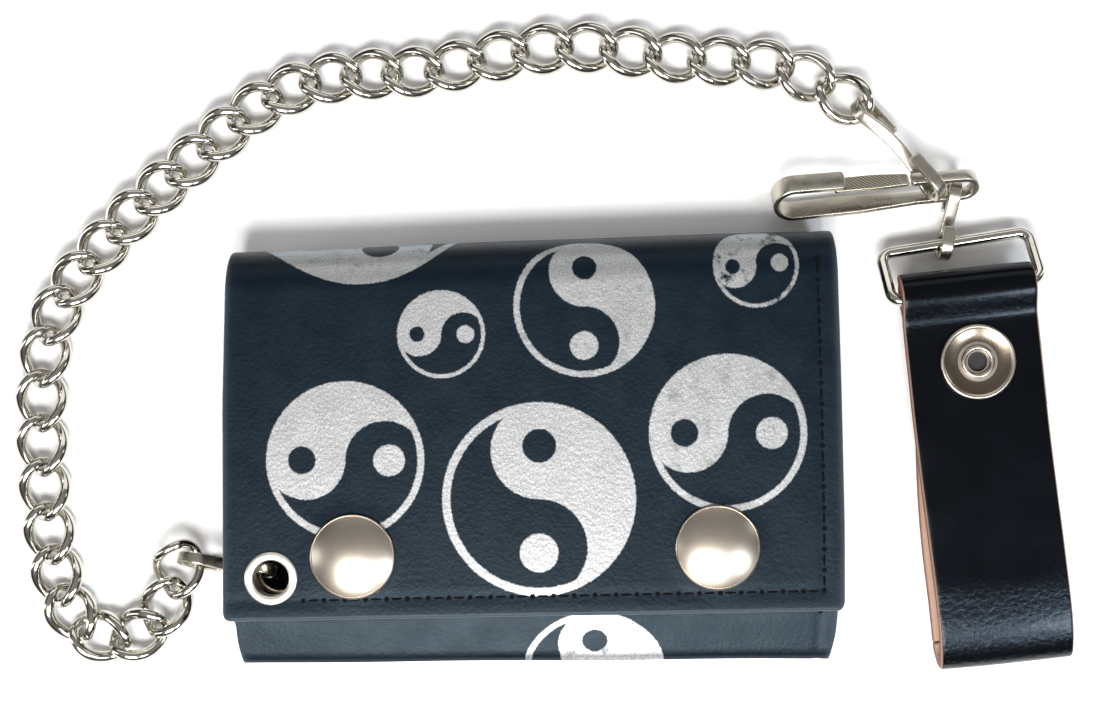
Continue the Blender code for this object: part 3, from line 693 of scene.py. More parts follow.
def lowerFold():
    # outer face: a quarter oval from the back to the tip, a tight round, then a gentle slope that levels out
    slope = shell["lowerSlope"]
    small = shell["lowerRound"]
    run = shell["lowerEase"] * np.linspace(0.0, 1.0, 12)
    level = np.stack([bottomCentreY + shell["lowerFlatFrom"] - run,
                      lowerHigh[2] - 0.5 * math.tan(slope) * run ** 2 / shell["lowerEase"]], axis=1)
    tip = arc(bottomCentreY - bottomRadius + small, 0.0, small, 0.5 + slope / np.pi, 1.0, 20)
    tip[:, 1] += level[-1, 1] - (level[-1, 0] - tip[0, 0]) * math.tan(slope) - tip[0, 1]
    quarter = arc(0.0, 0.0, 1.0, 0.0, 0.5, 24)[1:]
    under = (bottomCentreY, tip[-1, 1]) - quarter * (bottomRadius, tip[-1, 1])
    outer = np.concatenate([level, tip, under])[::-1]
    step = unit(np.gradient(outer, axis=0))
    middle = outer + 0.5 * leatherThick * np.stack([step[:, 1], -step[:, 0]], axis=1)
    return np.insert(middle, 0, 0.0, axis=1), outer


flapPath = flapFold()
lowerBend, lowerFace = lowerFold()
lowerPath = np.concatenate([lowerBend, [(0.0, lowerHigh[1], lowerHigh[2] - 0.5 * leatherThick)]])
backPath = np.array([(0.0, lowerLow[1], 0.5 * leatherThick), (0.0, flapHigh[1], 0.5 * leatherThick)])


def flapSheet(marks, whole):
    # length on the outer face: y on the flat, then round the fold at its outer radius
    flat = whole - (topCentreY - flapLow[1])
    middle = topRadius - 0.5 * leatherThick
    inFold = np.clip((flat - marks) / middle, 0.0, math.pi) * topRadius
    before = np.clip(flat - math.pi * middle - marks, 0.0, None)
    return np.minimum(topCentreY, flapLow[1] + whole - marks) + inFold + before


def lowerSheet(marks, whole):
    # y on the flat, then the bend's own length stretched to the sheet's
    flat = whole - (lowerHigh[1] - lowerBend[-1, 1])
    rise = lowerBend[-1, 1] - bottomCentreY
    stretch = (rise + math.pi * bottomRadius) / flat
    return lowerStart + rise + np.clip(marks - flat, 0.0, None) + stretch * np.clip(marks - flat, None, 0.0)


def backSheet(marks, whole):
    # y downwards from the top fold
    return backStart + topCentreY - (lowerLow[1] + marks)


def sheetPiece(name, path, side, sheetAt, width, relief, finish):
    # the leather's flat section carried along a path, with its relief pushed along the outer side
    placed, beside, share, marks = stations(path, (side, 0.0, 0.0), shell["spacing"], shell["edgeRound"])
    profile = roundedProfile(2.0 * halfWide, leatherThick, shell["edgeRound"], across=shell["columns"])
    narrow = width(marks, marks[-1]) / halfWide
    grid = sweep(placed, beside, sections(profile, narrow, share))
    along = unit(np.gradient(placed, axis=0))
    outward = np.cross(along, beside)
    outer = np.clip(profile[:, 1] / (0.5 * leatherThick - shell["edgeRound"]), 0.0, 1.0)
    fromEdge = np.minimum(halfWide * narrow[:, None] - np.abs(grid[..., 0]), (marks[-1] - marks)[:, None])
    rim = np.exp(-np.clip(fromEdge, 0.0, None) / shell["rimFade"])
    grid, shiftY = settledPlace(grid)
    # the print keeps its place while the leather under it shifts
    sheet = sheetAt(marks, marks[-1])[:, None] - side * along[:, None, 1] * shiftY
    grid = grid + relief(grid[..., 0], sheet, outer)[..., None] * outward[:, None]
    uv = np.stack([grid[..., 0], sheet], axis=-1) / sheetUnit
    return gridPiece(name, grid, finish, uv=uv, marks={"outer": outer, "rim": rim})


def eyeletDrill(low=0.001):
    return drill(eyelet, shell["eyeletCut"], low, 0.020, 48)


def notchTool():
    # a box that opens the lower panel's left edge, so that the hook can pass under the flap
    right, down, up = shell["notch"]
    left, right, low, high = -halfWide - 0.002, eyelet[0] + right, eyelet[1] - down, eyelet[1] + up
    outline = np.array([(left, low), (right, low), (right, high), (left, high)])
    walls = np.stack([np.insert(outline, 2, z, axis=1) for z in shell["notchTall"]])
    return gridPiece("notchTool", walls, lining)


def bendWithFlap(piece):
    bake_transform(piece)


def bendWithLower(piece):
    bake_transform(piece)


flapSkin = sheetPiece("flapSkin", flapPath, 1.0, flapSheet, flapWidth, flapRelief, flapLeather)
lowerSkin = sheetPiece("lowerSkin", lowerPath, -1.0, lowerSheet, lowerWidth, lowerRelief, lowerLeather)
backSkin = sheetPiece("backSkin", backPath, 1.0, backSheet, backWidth, backRelief, backLeather)
punch(flapSkin, eyeletDrill(0.010))
punch(lowerSkin, notchTool())
bendWithFlap(flapSkin)
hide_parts("flap_outer", "top_fold")
bendWithLower(lowerSkin)
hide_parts("lower_outer", "bottom_fold")
dress(backSkin, "wallet_back", "shell_leather", "back_panel")
print("wallet leather laid")


# linings and pockets: thin sheets, the pockets sewn down along their closed edges

inside = {
    "edgeRound": 0.00022, "spacing": 0.0012, "columns": 70, "wave": 0.00005, "seam": 0.0026,
    "flapCorner": 0.002, "billSheet": 0.0009, "cardSheet": 0.0005, "stitchInset": 0.0013, "stitchEnd": 0.001,
}


def liningSheet(name, body, node, thick=None, sewn=(), corners=0.0, tool=None):
    # a flat sheet with slow waves, its sewn edges eased down to the layer below
    low, high = boxOf(node)
    thick = thick or high[2] - low[2]
    halfAcross = 0.5 * (high[0] - low[0])
    path = np.array([(low[0] + halfAcross, y, high[2] - 0.5 * thick) for y in (low[1], high[1])])
    placed, beside, share, marks = stations(path, (1.0, 0.0, 0.0), inside["spacing"], inside["edgeRound"])
    profile = roundedProfile(2.0 * halfAcross, thick, inside["edgeRound"], across=inside["columns"])
    cut = np.clip(corners - marks, 0.0, None)
    narrow = 1.0 - (corners - np.sqrt(corners ** 2 - cut ** 2)) / halfAcross
    grid = sweep(placed, beside, sections(profile, narrow, share))
    x, y = grid[..., 0], grid[..., 1]
    fromEdge = {"left": x - low[0], "right": high[0] - x, "bottom": y - low[1], "top": high[1] - y}
    drop = np.zeros_like(x)
    for edge in sewn:
        drop = np.maximum(drop, 1.0 - ease(fromEdge[edge] / inside["seam"]))
    fall = high[2] - thick - low[2]
    grid[..., 2] += inside["wave"] * np.sin(140.0 * x + 90.0 * y) * (1.0 - drop) - fall * drop
    piece = gridPiece(name, grid, lining)
    if tool:
        punch(piece, tool())
    dress(piece, body, "lining_leather", node)


liningSheet("flapLiningSkin", "flap", "flap_lining", corners=inside["flapCorner"], tool=eyeletDrill)
liningSheet("lowerLiningSkin", "lower_panel", "lower_lining", tool=notchTool)
liningSheet("billPocket", "wallet_back", "inner_panel", inside["billSheet"], ("right", "bottom", "top"),
            tool=eyeletDrill)
liningSheet("cardPocket", "wallet_back", "card_pocket", inside["cardSheet"], ("left", "right", "bottom"))
print("linings and pockets laid")


# stitches: short black threads that dip into a hole at each end

stitch = {
    "thick": 0.00026, "share": 0.74, "flat": 0.7, "sink": -0.00002, "dip": 0.00034, "hole": 0.00055,
    "around": 6, "lowerFrom": 0.0032, "lowerEnd": 0.003,
    # heights of a hole's bead about the leather, and its radius there as a share of the hole
    "bead": [(-0.0003, 0.6), (-0.0001, 1.0), (0.00008, 0.85), (0.00011, 0.25)],
}


def threadPieces(name, middles, along, up):
    # each thread is a bowed capsule, and each hole a flat dark bead
    half = 0.5 * shell["stitchPitch"]
    rows = np.linspace(-1.0, 1.0, 7)[:, None]
    width = stitch["thick"] * np.sqrt(np.clip(1.0 - 0.92 * rows[:, 0] ** 4, 0.05, 1.0))
    paths = (middles[:, None] + half * stitch["share"] * rows * along[:, None]
             + (stitch["sink"] - stitch["dip"] * rows ** 4) * up[:, None])
    threads = tube(paths, np.cross(along, up)[:, None], stitch["flat"] * up[:, None], width, stitch["around"])
    holes = np.concatenate([middles - half * along, middles[-1:] + half * along[-1:]])
    along, up = (np.concatenate([side, side[-1:]]) for side in (along, up))
    tall, wide = np.array(stitch["bead"]).T
    paths = holes[:, None] + tall[:, None] * up[:, None]
    beads = tube(paths, along[:, None], np.cross(along, up)[:, None], stitch["hole"] * wide, stitch["around"])
    return joinPieces(name, [gridPiece("stitch", grid, thread) for grid in (*threads, *beads)])


def flapPoint(x, sheet):
    # a place on the outer face of the flap, and its outward direction
    turn = 0.5 * np.pi - np.clip((sheet - topCentreY) / topRadius, 0.0, np.pi)
    up = np.stack([np.zeros(len(sheet)), np.cos(turn), np.sin(turn)], axis=1)
    axis = np.stack([x, np.minimum(sheet, topCentreY), np.full(len(sheet), topRadius)], axis=1)
    place, shiftY = settledPlace(axis + topRadius * up)
    return place + flapRelief(place[:, 0], sheet + shiftY, 1.0)[:, None] * up, up


def flapRow(name, x, sheet):
    # a row of threads on the flap, at places across and along the sheet
    place, up = flapPoint(*(np.array(v) for v in np.broadcast_arrays(x, sheet)))
    return threadPieces(name, place, unit(np.gradient(place, axis=0)), up)


def lowerRow(name):
    # follows the outer face of the lower fold and on up the panel
    face = lowerFace[lowerFace[:, 1] > lowerLow[2]]
    y = np.arange(face[0, 0] + stitch["lowerFrom"], lowerHigh[1] - stitch["lowerEnd"], shell["stitchPitch"])
    shiftX, shiftY = settle(stitchX, y)
    lift = lowerRelief(stitchX + shiftX, lowerStart + y - bottomCentreY + shiftY, 1.0)
    place = np.stack([stitchX + shiftX, y + shiftY, np.interp(y, face[:, 0], face[:, 1]) + lift], axis=1)
    along = unit(np.gradient(place, axis=0))
    return threadPieces(name, place, along, unit(np.cross((1.0, 0.0, 0.0), along)))


def seamRow(name, body, start, end, z, facing):
    # an even row of threads between two points of a flat face that looks up or down
    start, end = np.array([*start, z]), np.array([*end, z])
    count = int(np.linalg.norm(end - start) / shell["stitchPitch"])
    middles = start + (np.arange(count) + 0.5)[:, None] / count * (end - start)
    along, up = (np.tile(side, (count, 1)) for side in (unit(end - start), (0.0, 0.0, facing)))
    dress(threadPieces(name, middles, along, up), body, "lining_leather")


pitch = shell["stitchPitch"]
hemStart = eyelet[0] + shell["stitchFromEyelet"]
hemX = np.arange(hemStart, stitchX - 0.5 * pitch, pitch) + 0.5 * pitch
hemX = hemX + (stitchX - 0.5 * pitch - hemX[-1])
hemStitch = flapRow("flapHemStitch", hemX, stitchY)
sideRun = np.arange(stitchY + 0.5 * pitch, topCentreY + 0.4 * topRadius, pitch)
sideStitch = flapRow("flapSideStitch", stitchX, sideRun)
dress(hemStitch, "flap", "shell_leather")
bendWithFlap(sideStitch)
bendWithLower(lowerRow("lowerSideStitch"))
pocketLow, pocketHigh = boxOf("card_pocket")
pocketTop = pocketHigh[2] - 0.35 * (pocketHigh[2] - inside["cardSheet"] - pocketLow[2])
pocketLeft, pocketRight = pocketLow[0] + inside["stitchInset"], pocketHigh[0] - inside["stitchInset"]
pocketBottom, pocketEnd = pocketLow[1] + inside["stitchInset"], pocketHigh[1] - inside["stitchEnd"]
pocketCorners = [(pocketLeft, pocketEnd), (pocketLeft, pocketBottom),
                 (pocketRight, pocketBottom), (pocketRight, pocketEnd)]
for i in range(3):
    seamRow(f"pocketStitch{i}", "wallet_back", pocketCorners[i], pocketCorners[i + 1], pocketTop, 1.0)
liningLow, liningHigh = boxOf("flap_lining")
insideEnds = {"flapHemInside": (hemStart, stitchY), "flapSideInside": (stitchX, liningHigh[1] - 0.002)}
for name, end in insideEnds.items():
    seamRow(name, "flap", (stitchX, stitchY), end, liningLow[2], -1.0)
print("stitches sewn")


# snaps and eyelets, turned from fine profiles of radius and height

snap = {
    "bead": 0.00036, "domeRows": 26, "crown": 0.8, "stem": 0.0013, "lift": 0.00005,
    "plate": 0.0005, "hole": 0.0016, "collarIn": 0.0028, "collarOut": 0.0038,
    # radius of the stud's head and neck, and how far below its top
    "head": [(0.0, 0.0), (0.0012, 0.0), (0.0019, 0.0001), (0.0023, 0.00045), (0.0022, 0.0009),
             (0.0020, 0.0015)],
    "flange": 0.00035, "bevel": (0.0002, 0.00015), "backPlate": 0.0004, "backInset": 0.0006,
}
grommet = {
    "rim": 0.00155, "wall": 0.0005, "flange": 0.00045, "bulge": 0.00055, "sink": 0.00012, "edge": 0.0003,
    "footIn": 0.0002, "footOut": 0.0004, "seat": 0.00015,
}


def turnedBox(node):
    # outer radius, foot and top of a round solid
    low, high = boxOf(node)
    return 0.5 * (high[0] - low[0]), low[2], high[2]


def capDome(node):
    # part of a ball above a rolled bead at the rim, with the stem below
    radius, foot, top = turnedBox(node)
    bead = snap["bead"]
    base = flapHigh[2] + snap["lift"]
    inner = radius - bead
    rise = snap["crown"] * (top - base - snap["lift"] - 1.6 * bead)
    ball = (inner ** 2 + rise ** 2) / (2.0 * rise)
    out = np.linspace(inner, 0.0, snap["domeRows"])
    dome = np.stack([out, base + 1.6 * bead + rise - ball + np.sqrt(ball ** 2 - out ** 2)], axis=1)
    rolled = arc(inner, base + bead, bead, -0.5, 0.4, 10)
    stem = [(0.0, foot), (snap["stem"], foot), (snap["stem"], base), (0.6 * radius, base)]
    return np.concatenate([stem, rolled, dome])


def socketRing(node):
    # a flat plate with a springy collar below it
    wide, foot, top = turnedBox(node)
    under = top - snap["plate"]
    hole, collarIn, collarOut = snap["hole"], snap["collarIn"], snap["collarOut"]
    return [(hole, top), (wide, top), (wide, under), (collarOut, under), (collarOut, foot), (collarIn, foot),
            (collarIn, under), (hole, under)]


def studTurning(node):
    # a rounded head on a flange, with the stem and its back plate below
    wide, foot, top = turnedBox(node)
    flange = top - snap["head"][-1][1]
    under, back, backTop = flange - snap["flange"], wide - snap["backInset"], foot + snap["backPlate"]
    bevelIn, bevelDown = snap["bevel"]
    return [*((r, top - drop) for r, drop in snap["head"]),
            (wide - bevelIn, flange), (wide, flange - bevelDown), (wide, under), (snap["stem"], under),
            (snap["stem"], backTop), (back, backTop), (back, foot), (0.0, foot)]


def grommetRing(node):
    # a barrel whose top flange is a rounded bead and whose lower flange is flat
    outer, foot, top = turnedBox(node)
    hole = outer - grommet["rim"]
    wall = hole + grommet["wall"]
    edge, flange = grommet["edge"], grommet["flange"]
    under = top - flange
    upper = [(0.5 * (outer + hole) + 0.5 * (outer - hole) * math.cos(t),
              under - grommet["sink"] + grommet["bulge"] * math.sin(t) ** 0.6)
             for t in np.linspace(0.0, np.pi, 12)]
    return upper + [(hole, foot + grommet["footIn"]), (hole + edge, foot), (outer - edge, foot),
                    (outer, foot + grommet["footOut"]), (wall, foot + flange),
                    (wall, under - grommet["seat"])]


for side, place in snapPlaces.items():
    for label, turning, finish, steps, closed, body in (
            ("Cap", capDome, "capNickel", 96, False, "flap"),
            ("Socket", socketRing, "chainNickel", 72, True, "flap"),
            ("Stud", studTurning, "chainNickel", 72, False, "lower_panel")):
        node = f"{side}_snap_{label.lower()}"
        piece = lathePiece(f"{side}Snap{label}", turning(node), place, nickel[finish], steps, closed)
        dress(piece, body, "nickel", node)
# the inner eyelet, seen down the flap eyelet's hole, takes the dark dish finish: painted shade for the bottom
# of the hole
for name, node, finish, body in (("flapEyelet", "flap_grommet", "eyeletNickel", "flap"),
                                 ("bodyEyelet", "body_grommet", "dishNickel", "wallet_back")):
    dress(lathePiece(name, grommetRing(node), eyelet, nickel[finish], closed=True), body, "nickel", node)
print("snaps and eyelets turned")


# curb chain: each link is a wire ring, oval and twisted along its length, laid where its solid lies

chain = {
    "long": 0.012, "wide": 0.0098, "bowWire": 0.00175, "sideWire": 0.0022, "twist": math.radians(45.0),
    "along": 64, "around": 14,
}


def linkShape(sideWire):
    # Round the link its length is a cosine and its width a sine. It rolls about its length, in proportion
    # to the place on it, and the wire is fuller at the sides.
    turns = 2.0 * np.pi * np.arange(chain["along"]) / chain["along"]
    x = 0.5 * (chain["long"] - chain["bowWire"]) * np.cos(turns)
    across = 0.5 * (chain["wide"] - sideWire) * np.sin(turns)
    wire = chain["bowWire"] + (sideWire - chain["bowWire"]) * np.sin(turns) ** 2
    roll = chain["twist"] * np.cos(turns)
    path = np.stack([x, across * np.cos(roll), across * np.sin(roll)], axis=1)
    along = unit(np.roll(path, -1, axis=0) - np.roll(path, 1, axis=0))
    outward = unit(path - along * np.sum(path * along, axis=1)[:, None])
    return tube(path, outward, np.cross(along, outward), 0.5 * wire, chain["around"])


def linkPlace(node):
    # middle and axes of a link's solid: its longest spread lies along it, its shortest is its normal
    mesh = frame["nodes"][node].data
    points = np.zeros(3 * len(mesh.vertices), dtype=np.float32)
    mesh.vertices.foreach_get("co", points)
    points = points.reshape(-1, 3).astype(float)
    middle = points.mean(axis=0)
    axes = np.linalg.eigh(np.cov((points - middle).T))[1]
    forward = axes[:, 2]
    normal = axes[:, 0] * np.sign(axes[2, 0])
    return middle, np.stack([forward, np.cross(normal, forward), normal])


fullLink = linkShape(chain["sideWire"])
firstLink = linkShape(chain["bowWire"])  # slimmer, to clear the hook it swings on
linkNodes = sorted(n for n in frame["nodes"] if n.startswith("chain_link_"))
for node in linkNodes:
    middle, turn = linkPlace(node)
    number = node[-2:]
    shape = firstLink if node == linkNodes[0] else fullLink
    piece = gridPiece("link" + number, shape @ turn + middle, nickel["chainNickel"], closeRows=True)
    dress(piece, "link_" + number, "nickel", node)
print("chain laid:", len(linkNodes), "links")


# S-hooks: flat strip bent into two opposite bends, the stretch between them twisted where the bends differ

hooks = {
    "wallet": {"radius": 0.00315, "wide": 0.0021, "thick": 0.0010, "roll": (75.0, 75.0)},
    "chain": {"radius": 0.00275, "wide": 0.0022, "thick": 0.0011, "roll": (126.0, 81.0)},
    "ring": {"radius": 0.0025, "wide": 0.0022, "thick": 0.0010, "roll": (90.0, 90.0)},
}
hookShape = {"tail": 0.35, "edge": 0.0003, "spacing": 0.00035, "endRound": 0.0005, "blunt": 0.45}
# play between a hook and what it hangs in: at the first link, at the inner eyelet and at the clip
hookPlay = {"link": 0.0011, "bend": 0.0002, "eyelet": 0.00045, "clip": 0.0012}


def hookGrid(start, end, size):
    # each bend turns about one end point, and a roll of 0 lays that bend flat
    radius = size["radius"]
    reach = 0.5 * np.linalg.norm(end - start)
    along = unit(end - start)
    level = unit(np.cross((0.0, 0.0, 1.0), along))
    upright = np.cross(along, level)
    lean = math.asin(radius / reach)
    half = np.concatenate([[(hookShape["tail"] * reach, radius)],
                           arc(reach, 0.0, radius, 0.5, -0.5 - lean / np.pi, 33)])
    share = np.linspace(0.0, 1.0, 14)[1:-1]
    flat = np.concatenate([half, half[-1] * (1.0 - 2.0 * share[:, None]), -half[::-1]])
    shares = np.concatenate([np.zeros(len(half)), share, np.ones(len(half))])
    startRoll, endRoll = np.radians(size["roll"])
    roll = endRoll + (startRoll - endRoll) * shares
    sideways = np.cos(roll)[:, None] * level + np.sin(roll)[:, None] * upright
    path = 0.5 * (start + end) + flat[:, :1] * along + flat[:, 1:] * sideways
    placed, across, taper, marks = stations(path, np.cross(along, sideways), hookShape["spacing"],
                                            hookShape["endRound"])
    full = hookShape["blunt"] + (1.0 - hookShape["blunt"]) * taper
    profile = roundedProfile(size["wide"], size["thick"], hookShape["edge"])
    return sweep(placed, across, sections(profile, full, full))


def hookEnds():
    # each hook's two seats: first link and inner eyelet, last link and clip, clip and ring
    firstMiddle, firstTurn = linkPlace(linkNodes[0])
    secondMiddle = linkPlace(linkNodes[1])[0]
    run = firstTurn[0] * np.sign(np.dot(firstTurn[0], secondMiddle - firstMiddle))
    size = hooks["wallet"]
    fromMiddle = 0.5 * chain["long"] - chain["bowWire"] - 0.5 * size["wide"] - hookPlay["link"]
    bend = firstMiddle - fromMiddle * run
    seat = jointAt["wallet_hook_turn"]
    pull = unit(bend - seat)
    lastBow, upperArm = jointAt["chain_hook_tilt"], jointAt["clip_turn"]
    return {
        "wallet": (bend - (size["radius"] + hookPlay["bend"]) * pull,
                   seat + (size["radius"] + hookPlay["eyelet"]) * pull),
        "chain": (lastBow, upperArm + hookPlay["clip"] * unit(upperArm - lastBow)),
        "ring": (jointAt["ring_hook_turn"], jointAt["ring_swing"]),
    }


for label, (start, end) in hookEnds().items():
    piece = gridPiece(label + "Hook", hookGrid(start, end, hooks[label]), nickel["clipNickel"])
    dress(piece, label + "_hook", "nickel", label + "_s_hook")
print("hooks bent")


# spring clip: a strip bent into a hook with an eye, and a knurled leaf that closes it

clip = {
    "turn": math.radians(4.5), "roll": math.radians(50.0), "long": 0.0375, "thick": 0.0010, "bend": 0.0034,
    "eye": 0.0023, "wide": 0.0042, "eyeWide": 0.0026, "narrowFrom": 0.016, "narrowRun": 0.010, "edge": 0.0003,
    "tip": 0.013, "chainSeat": 0.0278, "gap": 0.0003,
    "gateRoot": 0.0246, "gateThick": 0.0008, "gateWide": 0.0034, "gateEdge": 0.00022, "gateLap": 0.002,
    "knurlPitch": 0.00078, "knurlDeep": 0.00014, "knurlFrom": 0.0012, "knurlTo": 0.0006, "knurlEase": 0.001,
}
upward = np.array([0.0, 0.0, 1.0])
clipAlong = np.array([math.cos(clip["turn"]), math.sin(clip["turn"]), 0.0])
clipLevel = np.array([-clipAlong[1], clipAlong[0], 0.0])
clipOver = math.cos(clip["roll"]) * clipLevel + math.sin(clip["roll"]) * upward
clipThrough = -math.sin(clip["roll"]) * clipLevel + math.cos(clip["roll"]) * upward
clipStart = jointAt["clip_turn"] - clip["chainSeat"] * clipAlong - clip["eye"] * clipOver


def clipStations(flat, spacing, endRound):
    # a flat path stood up in the clip's own plane
    flat = np.array(flat)
    path = clipStart + flat[:, :1] * clipAlong + flat[:, 1:] * clipOver
    return stations(path, clipThrough, spacing, endRound)


def clipBody():
    # from the tip round the large bend, along to the eye and back to the gate's root
    left = clip["bend"] + 0.5 * clip["thick"]
    right = clip["long"] - clip["eye"] - 0.5 * clip["thick"]
    bend = arc(left, 0.0, clip["bend"], 0.5, 1.5, 33)
    eye = arc(right, 0.0, clip["eye"], -0.5, 0.5, 25)
    ends = [(clip["tip"], clip["bend"])], [(clip["gateRoot"] + clip["gap"], clip["eye"])]
    placed, beside, taper, marks = clipStations(np.concatenate([ends[0], bend, eye, ends[1]]), 0.0005, 0.0006)
    run = ((placed - clipStart) @ clipAlong - clip["narrowFrom"]) / clip["narrowRun"]
    narrow = 1.0 + (clip["eyeWide"] / clip["wide"] - 1.0) * np.clip(run, 0.0, 1.0)
    full = 0.5 + 0.5 * taper
    profile = roundedProfile(clip["wide"], clip["thick"], clip["edge"])
    grid = sweep(placed, beside, sections(profile, full * narrow, full))
    return gridPiece("clipHook", grid, nickel["clipNickel"])


def clipLeaf():
    # a gently bowed leaf under the tip, with slanted ridges rolled into its flat faces, clear of the two ends
    under = clip["bend"] - 0.5 * clip["thick"] - clip["gap"] - 0.5 * clip["gateThick"]
    tip = (clip["tip"] - clip["gateLap"], under)
    middle = (0.5 * (clip["gateRoot"] + tip[0]), 0.5 * (clip["eye"] + tip[1]) + 0.0001)
    placed, beside, taper, marks = clipStations(
        smoothPath([(clip["gateRoot"], clip["eye"]), middle, tip], 10), 0.00012, 0.0005)
    narrow = np.interp(marks, [0.0, 0.4 * marks[-1]], [clip["eyeWide"] / clip["gateWide"], 1.0])
    profile = roundedProfile(clip["gateWide"], clip["gateThick"], clip["gateEdge"], across=26)
    full = 0.5 + 0.5 * taper
    section = sections(profile, full * narrow, full)
    phase = 2.0 * np.pi * (marks[:, None] + section[..., 0]) / clip["knurlPitch"]
    clear = (ease((marks - clip["knurlFrom"]) / clip["knurlEase"])
             * ease((marks[-1] - marks - clip["knurlTo"]) / clip["knurlEase"]))
    face = np.clip(np.abs(profile[:, 1]) / (0.5 * clip["gateThick"]) * 8.0 - 7.0, 0.0, 1.0)
    ridge = 0.5 * clear[:, None] * face * (np.sin(phase) - 1.0)
    section[..., 1] += np.sign(section[..., 1]) * clip["knurlDeep"] * ridge
    # the groove mark paints shade into the hollows between the ridges
    return gridPiece("clipGate", sweep(placed, beside, section), nickel["knurledNickel"],
                     marks={"groove": np.clip(-1.3 * ridge - 0.2, 0.0, 1.0)})


dress(clipBody(), "clip", "nickel", "clip_body")
dress(clipLeaf(), "gate", "nickel", "clip_gate")
print("clip bent")


# rectangular ring

ring = {
    "long": 0.0271, "tall": 0.010, "wire": 0.0021, "corner": 0.002, "turn": math.radians(9.0), "rise": 0.0045,
    "around": 16,
}


def ringPiece():
    # a rounded rectangle of wire that leans down from the strap's bar
    along = np.array([math.cos(ring["turn"]), math.sin(ring["turn"]), 0.0])
    level = np.array([-along[1], along[0], 0.0])
    run = math.sqrt(ring["tall"] ** 2 - ring["rise"] ** 2)
    up = (run * level - ring["rise"] * upward) / ring["tall"]
    outline = roundedProfile(ring["long"], ring["tall"], ring["corner"], across=16, steps=10)
    keep = np.linalg.norm(np.roll(outline, 1, axis=0) - outline, axis=1) > 1e-7
    outline = outline[keep] + (0.0, 0.5 * ring["tall"])
    path = jointAt["strap_swing"] + outline[:, :1] * along + outline[:, 1:] * up
    forward = unit(np.roll(path, -1, axis=0) - np.roll(path, 1, axis=0))
    normal = np.cross(along, up)
    grid = tube(path, normal, np.cross(forward, normal), 0.5 * ring["wire"], ring["around"])
    return gridPiece("strapRing", grid, nickel["chainNickel"], closeRows=True)


dress(ringPiece(), "ring", "nickel", "strap_ring")
print("ring bent")


# belt strap: a band round the ring's bar, down the front and round the fold, with a tail that snaps behind

strap = {
    "wide": 0.0240, "thick": 0.0019, "turn": math.radians(6.0), "long": 0.068, "turnedEnd": 0.022,
    "bulb": 0.00315, "bulbRun": 0.0058, "tailLow": 0.002, "room": 0.0022, "tailTip": 0.0055,
    "foldTall": 0.009, "snap": 0.0129, "gap": 0.0003, "edge": 0.0005, "spacing": 0.0006, "columns": 44,
    "belly": 0.0095, "bellyFrom": 0.014, "sway": 0.0010, "tailSide": 0.0015, "tuck": 0.0006,
    "wave": 0.00001, "crown": 0.0001, "rimFade": 0.0002, "hole": 0.0019,
    # a start and a run down the strap: where the tail lifts, where the strap sways, where the tail shows
    "lift": (0.036, 0.014), "hang": (0.018, 0.042), "show": (0.020, 0.030),
    # strength, place and width of the creases near the bar, then strength, start and run of the fold's
    "creases": [(0.55, 0.0045, 0.0045), (0.35, 0.014, 0.006)], "foldCrease": (0.9, 0.049, 0.007),
    "tailCrease": 0.15,
}
strapBar = jointAt["strap_swing"]
strapTop = strapBar * (1.0, 1.0, 0.0)
strapAcross = np.array([math.cos(strap["turn"]), math.sin(strap["turn"]), 0.0])
strapDown = np.array([strapAcross[1], -strapAcross[0], 0.0])
tailMiddle = strap["tailLow"] + 0.5 * strap["thick"]
turnedMiddle = tailMiddle + strap["thick"] + strap["room"]
frontMiddle = turnedMiddle + strap["thick"] + strap["gap"]
frontFace = frontMiddle + 0.5 * strap["thick"]
foldRadius = 0.5 * (strap["foldTall"] - strap["thick"])
foldAt = strap["long"] - 0.5 * strap["foldTall"]
foldZ = 0.5 * strap["foldTall"]
bellyAt = foldAt + foldRadius - strap["belly"]


def frontFlat():
    # distance down the strap and height, from the turned end round the bar, down the front and round the fold
    bulb, bulbRun, barZ = strap["bulb"], strap["bulbRun"], strapBar[2]
    down = np.concatenate([[strap["turnedEnd"]], np.linspace(bulbRun, 0.0, 14)[:-1]])
    rise = (barZ - bulb - turnedMiddle) * ease(1.0 - down / bulbRun)
    under = np.stack([down, turnedMiddle + rise], axis=1)
    loop = arc(0.0, barZ, bulb, 1.5, 0.5, 33)
    down = np.concatenate([np.linspace(0.0, bulbRun, 14)[1:], np.linspace(bulbRun, bellyAt, 40)[1:-1]])
    rise = (barZ + bulb - frontMiddle) * ease(1.0 - down / bulbRun)
    sag = ease((down - strap["bellyFrom"]) / (bellyAt - strap["bellyFrom"]))
    over = np.stack([down, frontMiddle + rise + (foldZ + foldRadius - frontMiddle) * sag], axis=1)
    # the fold is a long quarter oval above and a quarter circle below
    turns = np.linspace(0.5 * np.pi, -0.5 * np.pi, 49)
    reach = np.where(turns > 0.0, strap["belly"], foldRadius)
    down = foldAt + foldRadius + reach * (np.cos(turns) - 1.0)
    fold = np.stack([down, foldZ + foldRadius * np.sin(turns)], axis=1)
    return np.concatenate([under, loop, over, fold])


def tailFlat():
    # flat on the table from the fold, then eased up towards the snap
    down = np.linspace(foldAt - strap["gap"], strap["tailTip"], 40)
    start, run = strap["lift"]
    return np.stack([down, 0.5 * strap["thick"] + strap["tailLow"] * ease((start - down) / run)], axis=1)


def hang(down):
    # the strap hangs a little to the left at its top and to the right at its fold
    start, run = strap["hang"]
    return strap["sway"] * (ease((down - start) / run) - 0.3)


def frontSway(down, z):
    # the turned end is tucked in under the front
    return hang(down) + strap["tuck"] * ease((strapBar[2] - z) / 0.001) * (down < strap["turnedEnd"] + 0.001)


def tailSway(down, z):
    # the tail lies hidden behind the front at its snap and shows to the left lower down
    start, run = strap["show"]
    return hang(down) + strap["tailSide"] * (1.0 - ease((down - start) / run))


